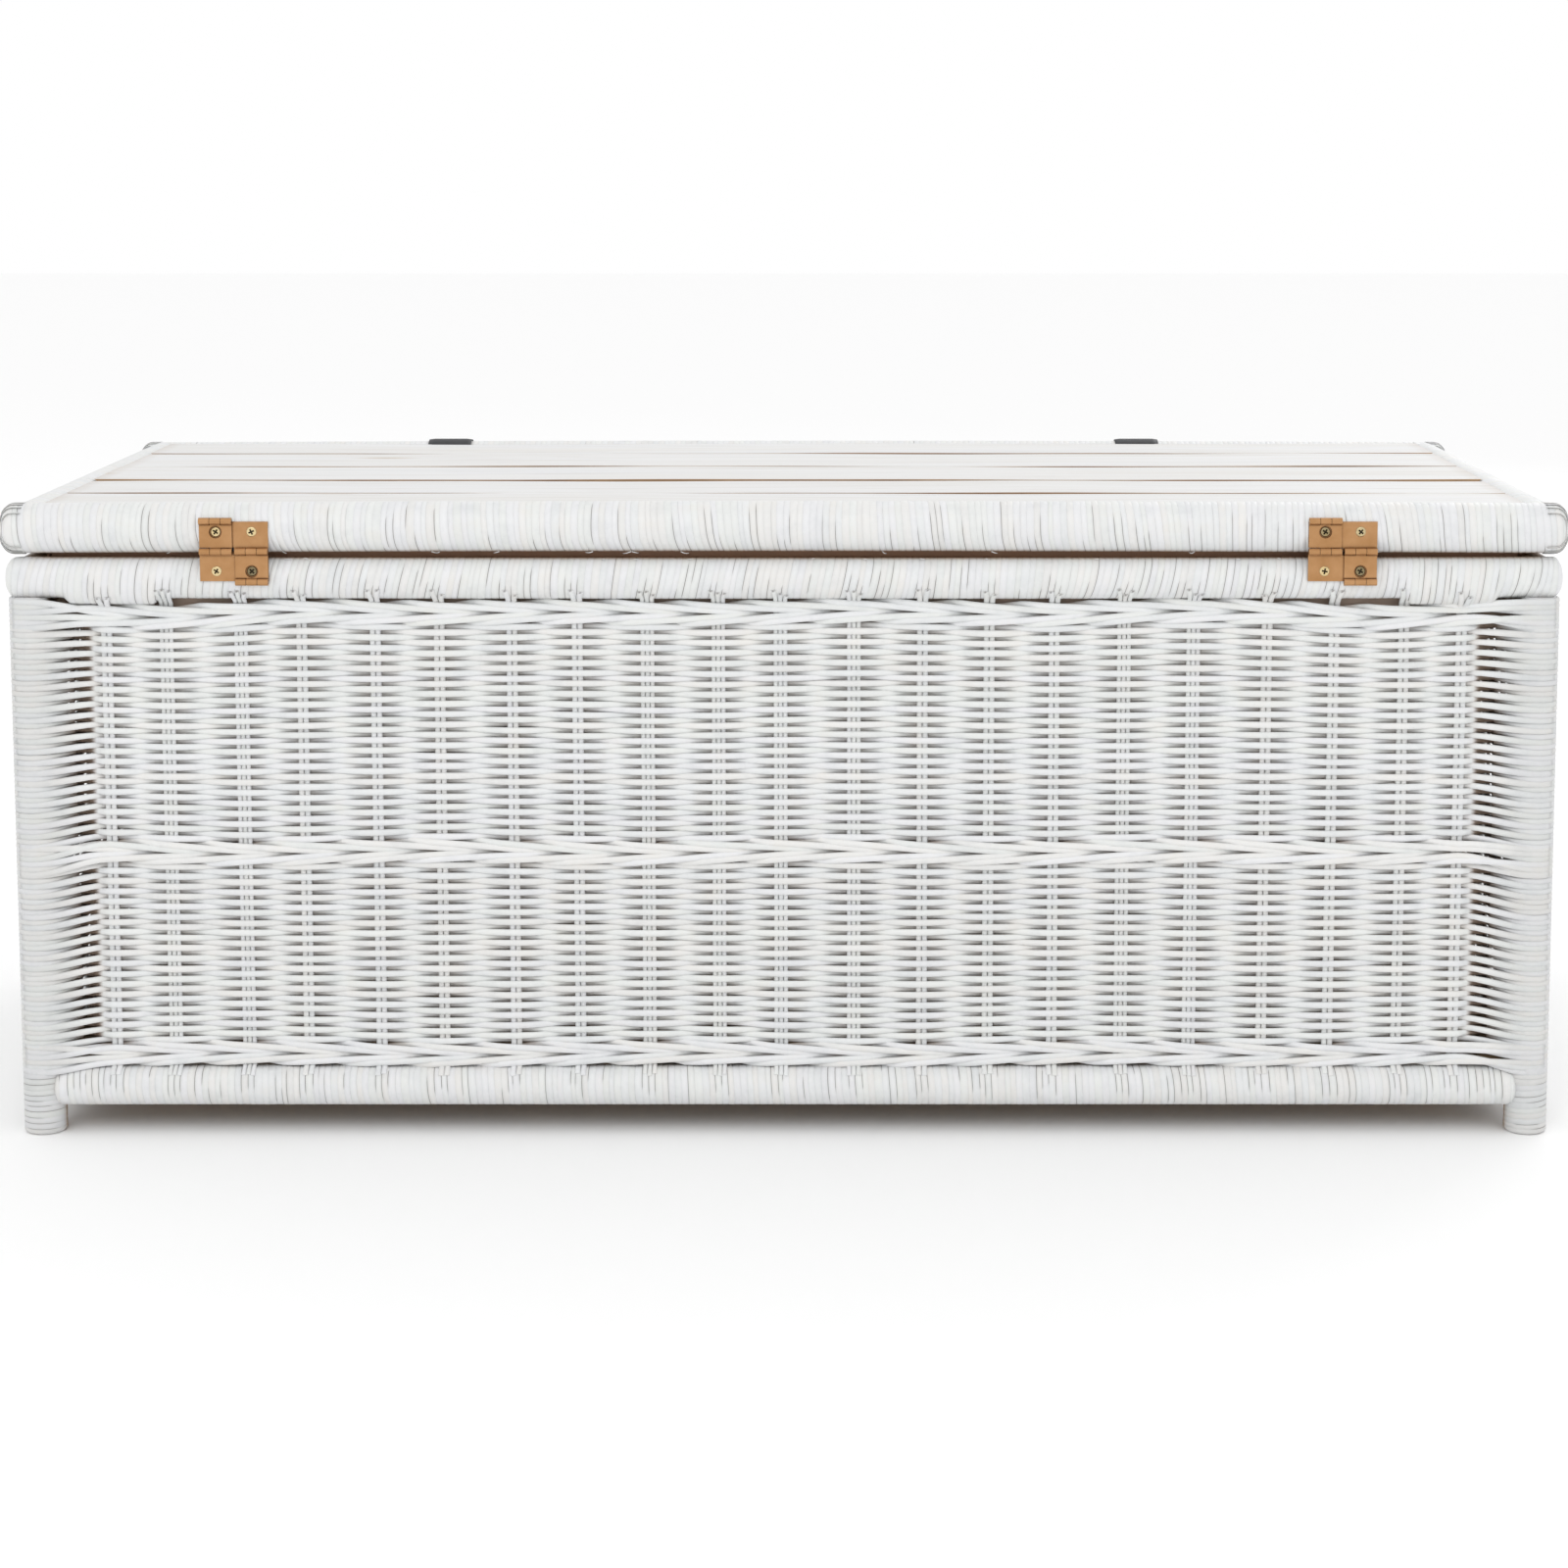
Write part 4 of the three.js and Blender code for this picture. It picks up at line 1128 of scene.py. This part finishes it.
def screw_head(node, body):
    """A domed head with a cross recess, on its shank."""
    low, high = corners_of(node)
    middle = (low + high) / 2
    radius = (high[0] - low[0]) / 2
    face = high[1]
    random = dice(node)
    twist = random.uniform(0, math.pi / 2)
    turn = circle(HEAD_SIDES)
    share = np.concatenate([np.linspace(0.04, 0.62, 22), np.linspace(0.66, 1.0, 8)])[::-1]
    x = share[:, None] * np.cos(turn) * radius
    z = share[:, None] * np.sin(turn) * radius
    u = x * math.cos(twist) + z * math.sin(twist)
    v = -x * math.sin(twist) + z * math.cos(twist)
    slot_half = 0.13 * radius
    arm = 0.58 * radius
    cross = np.minimum(np.where(np.abs(v) < arm, np.abs(u), 1), np.where(np.abs(u) < arm, np.abs(v), 1))
    recess = 1 - smooth(slot_half * 0.8, slot_half * 1.3, cross)
    dome = 0.32 * MM * (1 - share[:, None] ** 2) - 0.35 * MM * smooth(0.85, 1.0, share)[:, None]
    y = face - 0.35 * MM + dome - recess * 0.8 * MM * (1 - 0.35 * share[:, None])
    top = np.stack([middle[0] + x, y, middle[2] + z], -1)
    under = face - 0.85 * MM
    shank = 0.44 * radius
    below = [np.stack([middle[0] + np.cos(turn) * reach, np.full(HEAD_SIDES, depth),
                       middle[2] + np.sin(turn) * reach], -1)
             for reach, depth in ((shank, low[1] + 2 * MM), (shank, under), (radius, under))]
    points = np.concatenate([below, top])
    # painted shade: the cross recess is darkened, and the listed screws are dimmed all over
    crevice_shade = np.concatenate([np.zeros((3, HEAD_SIDES)), recess])
    tones = mix(np.full(points.shape, SHADED_SCREWS.get(node, 1.0)), np.full(points.shape, 0.06), crevice_shade)
    pile = Pile()
    pile.net(points, tones, flip=True)
    sharpen(pile.make(f"{node}_head", SCREW_BRASS, body, "screw_brass", [node]), 50)


def make_hinges():
    bodies = frame["record"]["behaviour"]["bodies"]
    home = {node: body for body, nodes in bodies.items() for node in nodes}
    for node in sorted(frame["nodes"]):
        if not node.startswith("hinge_"):
            continue
        if "_screw_" in node:
            screw_head(node, home[node])
        else:
            hinge_part(node, home[node])


# ---- straps ----


def strap_path(node):
    """The band's middle line in its own plane, as (y, z): round the rail, then down in front."""
    low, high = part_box(node)
    slack = 0.25 * MM  # between the leather and the rail
    thick = high.z - LID_RAIL[2] - LID_RAIL_RADIUS - slack
    radius = LID_RAIL_RADIUS + slack + thick / 2
    angle = np.radians(np.linspace(-100, 180, 40))
    loop = [-abs(LID_RAIL[1]), LID_RAIL[2]] + radius * rim(angle)
    front = -abs(LID_RAIL[1]) - radius - 0.35 * MM
    steps = 46
    down = np.linspace(LID_RAIL[2] - 3 * MM, low.z, steps)
    bulge = 0.25 * MM * np.sin(np.linspace(0, math.pi, steps))
    tail = np.stack([front - bulge, down], -1)
    return loop, tail, thick


def band(pile, line, x, half_width, thick):
    """A flat leather band of a given half width at each point of a line in the (y, z) plane."""
    normal = normals_of(line)
    steps = 9
    over = np.linspace(-1, 1, steps)
    across = np.concatenate([over, over[::-1]])
    edge = 1 - 0.62 * np.abs(across) ** 14
    side = np.repeat([1, -1], steps)
    points = np.zeros((len(line), 2 * steps, 3))
    points[..., 0] = x + half_width[:, None] * across
    offset = side * edge * thick / 2
    points[..., 1] = line[:, :1] + normal[:, :1] * offset
    points[..., 2] = line[:, 1:] + normal[:, 1:] * offset
    pile.net(points, np.ones(points.shape), flip=True)


def stitches(pile, line, x, half_width, skip):
    """Short threads along both edges of the tail."""
    lengths = np.concatenate([[0], np.cumsum(np.linalg.norm(np.diff(line, axis=0), axis=1))])
    inset = 3 * MM
    for start in np.arange(skip, lengths[-1] - 4 * MM, 4.6 * MM):
        span = np.linspace(start, start + 3.1 * MM, 5)
        y = np.interp(span, lengths, line[:, 0])
        z = np.interp(span, lengths, line[:, 1])
        width = np.interp(span, lengths, half_width) - inset
        if width.min() < 2 * MM:
            continue
        arch = 0.2 * MM * np.sin(np.linspace(0, math.pi, 5))
        for sign in (-1, 1):
            path = np.stack([x + sign * width, y - 1.0 * MM - arch, z], -1)
            pile.tube(path, np.array([1.0, 0, 0]), np.array([0, 1.0, 0]), 0.42 * MM, 0.34 * MM,
                      np.ones(3), sides=6)


def rivet(name, node):
    """A rivet turned from its profile, as shares of its radius and places across the strap."""
    low, high = corners_of(node)
    middle = (low + high) / 2
    radius = (high[0] - low[0]) / 2
    profile = [(0.3, high[1]), (0.72, high[1]), (0.78, high[1] - 0.8 * MM), (0.4, high[1] - 1 * MM),
               (0.4, low[1] + 1.4 * MM), (0.97, low[1] + 1.2 * MM), (1.0, low[1] + 1.0 * MM),
               (0.93, low[1] + 0.6 * MM), (0.7, low[1] + 0.25 * MM), (0.4, low[1] + 0.05 * MM),
               (0.1, low[1])]
    points = np.array([[(middle[0] + r * radius * math.cos(a), y, middle[2] + r * radius * math.sin(a))
                        for a in circle(32)] for r, y in profile])
    pile = Pile()
    pile.net(points, np.ones(points.shape))
    pile.make(f"{node}_finished", SCREW_BRASS, name, "screw_brass", [node])


def make_straps():
    for name in ("strap_left", "strap_right"):
        x = centre_of(name)[0]
        half = size_of(name)[0] / 2
        loop, tail, thick = strap_path(name)
        pile = Pile()
        band(pile, loop, x, np.full(len(loop), half), thick)
        from_end = tail[:, 1] - tail[-1, 1]
        curve = np.sqrt(np.clip(half ** 2 - np.clip(half - from_end, 0, half) ** 2, (1.2 * MM) ** 2, None))
        rounded = np.minimum(curve, half)
        band(pile, tail, x, rounded, thick)
        lap_low = centre_of(f"{name}_rivet")[2] - 11 * MM
        lap = np.linspace(LID_RAIL[2] - 14 * MM, lap_low, 16)
        lap_line = np.stack([np.full(len(lap), tail[0, 0] + thick * 0.98), lap], -1)
        band(pile, lap_line, x, np.full(len(lap), half - 0.3 * MM), thick * 0.85)
        pile.make(f"{name}_leather", LEATHER, name, "leather", [name])
        thread = Pile()
        stitches(thread, tail, x, rounded, 18 * MM)
        thread.make(f"{name}_stitching", THREAD, name, "leather")
        rivet(name, f"{name}_rivet")


# ---- stage ----


def make_camera():
    data = bpy.data.cameras.new("camera")
    data.lens = 72
    data.sensor_width = 36
    data.shift_x = -0.0352
    data.shift_y = -0.18
    camera = add_object("camera", data)
    camera.location = (-0.0376, 2.350, 0.6874)
    lean = 6.566  # degrees down from level
    camera.rotation_euler = (math.radians(90 - lean), 0, math.radians(180))
    bpy.context.scene.camera = camera


def make_floor():
    mesh = bpy.data.meshes.new("floor")
    reach = 14.0
    mesh.from_pydata([(-reach, -reach, 0), (reach, -reach, 0), (reach, reach, 0), (-reach, reach, 0)],
                     [], [(0, 1, 2, 3)])
    floor = add_object("floor", mesh)
    paper = Surface("pale_floor", 0.9, specular=0.1)
    paper.shader.inputs["Base Color"].default_value = (0.97, 0.97, 0.97, 1)
    mesh.materials.append(paper.material)


def make_light(name, place, size, power):
    data = bpy.data.lights.new(name, "AREA")
    data.energy = power
    data.size = size
    light = add_object(name, data)
    light.location = place
    direction = np.array([0, 0, 0.2]) - place  # at the middle of the trunk
    light.rotation_euler = Vector(direction).to_track_quat("-Z", "Y").to_euler()


def make_lights():
    world = bpy.data.worlds.new("studio")
    world.use_nodes = True
    background = world.node_tree.nodes["Background"]
    background.inputs["Color"].default_value = (1, 1, 1, 1)
    background.inputs["Strength"].default_value = 1.0
    bpy.context.scene.world = world
    make_light("key", (0.3, 3.1, 2.5), 1.8, 19)
    make_light("fill", (-1.8, -2.6, 2.2), 2.0, 18)
    bpy.context.scene.view_settings.view_transform = "Standard"


make_camera()
make_floor()
make_lights()
make_walls()
make_posts()
make_rails()
make_frays()
make_planks()
finish_plain_wood()
make_hinges()
make_straps()
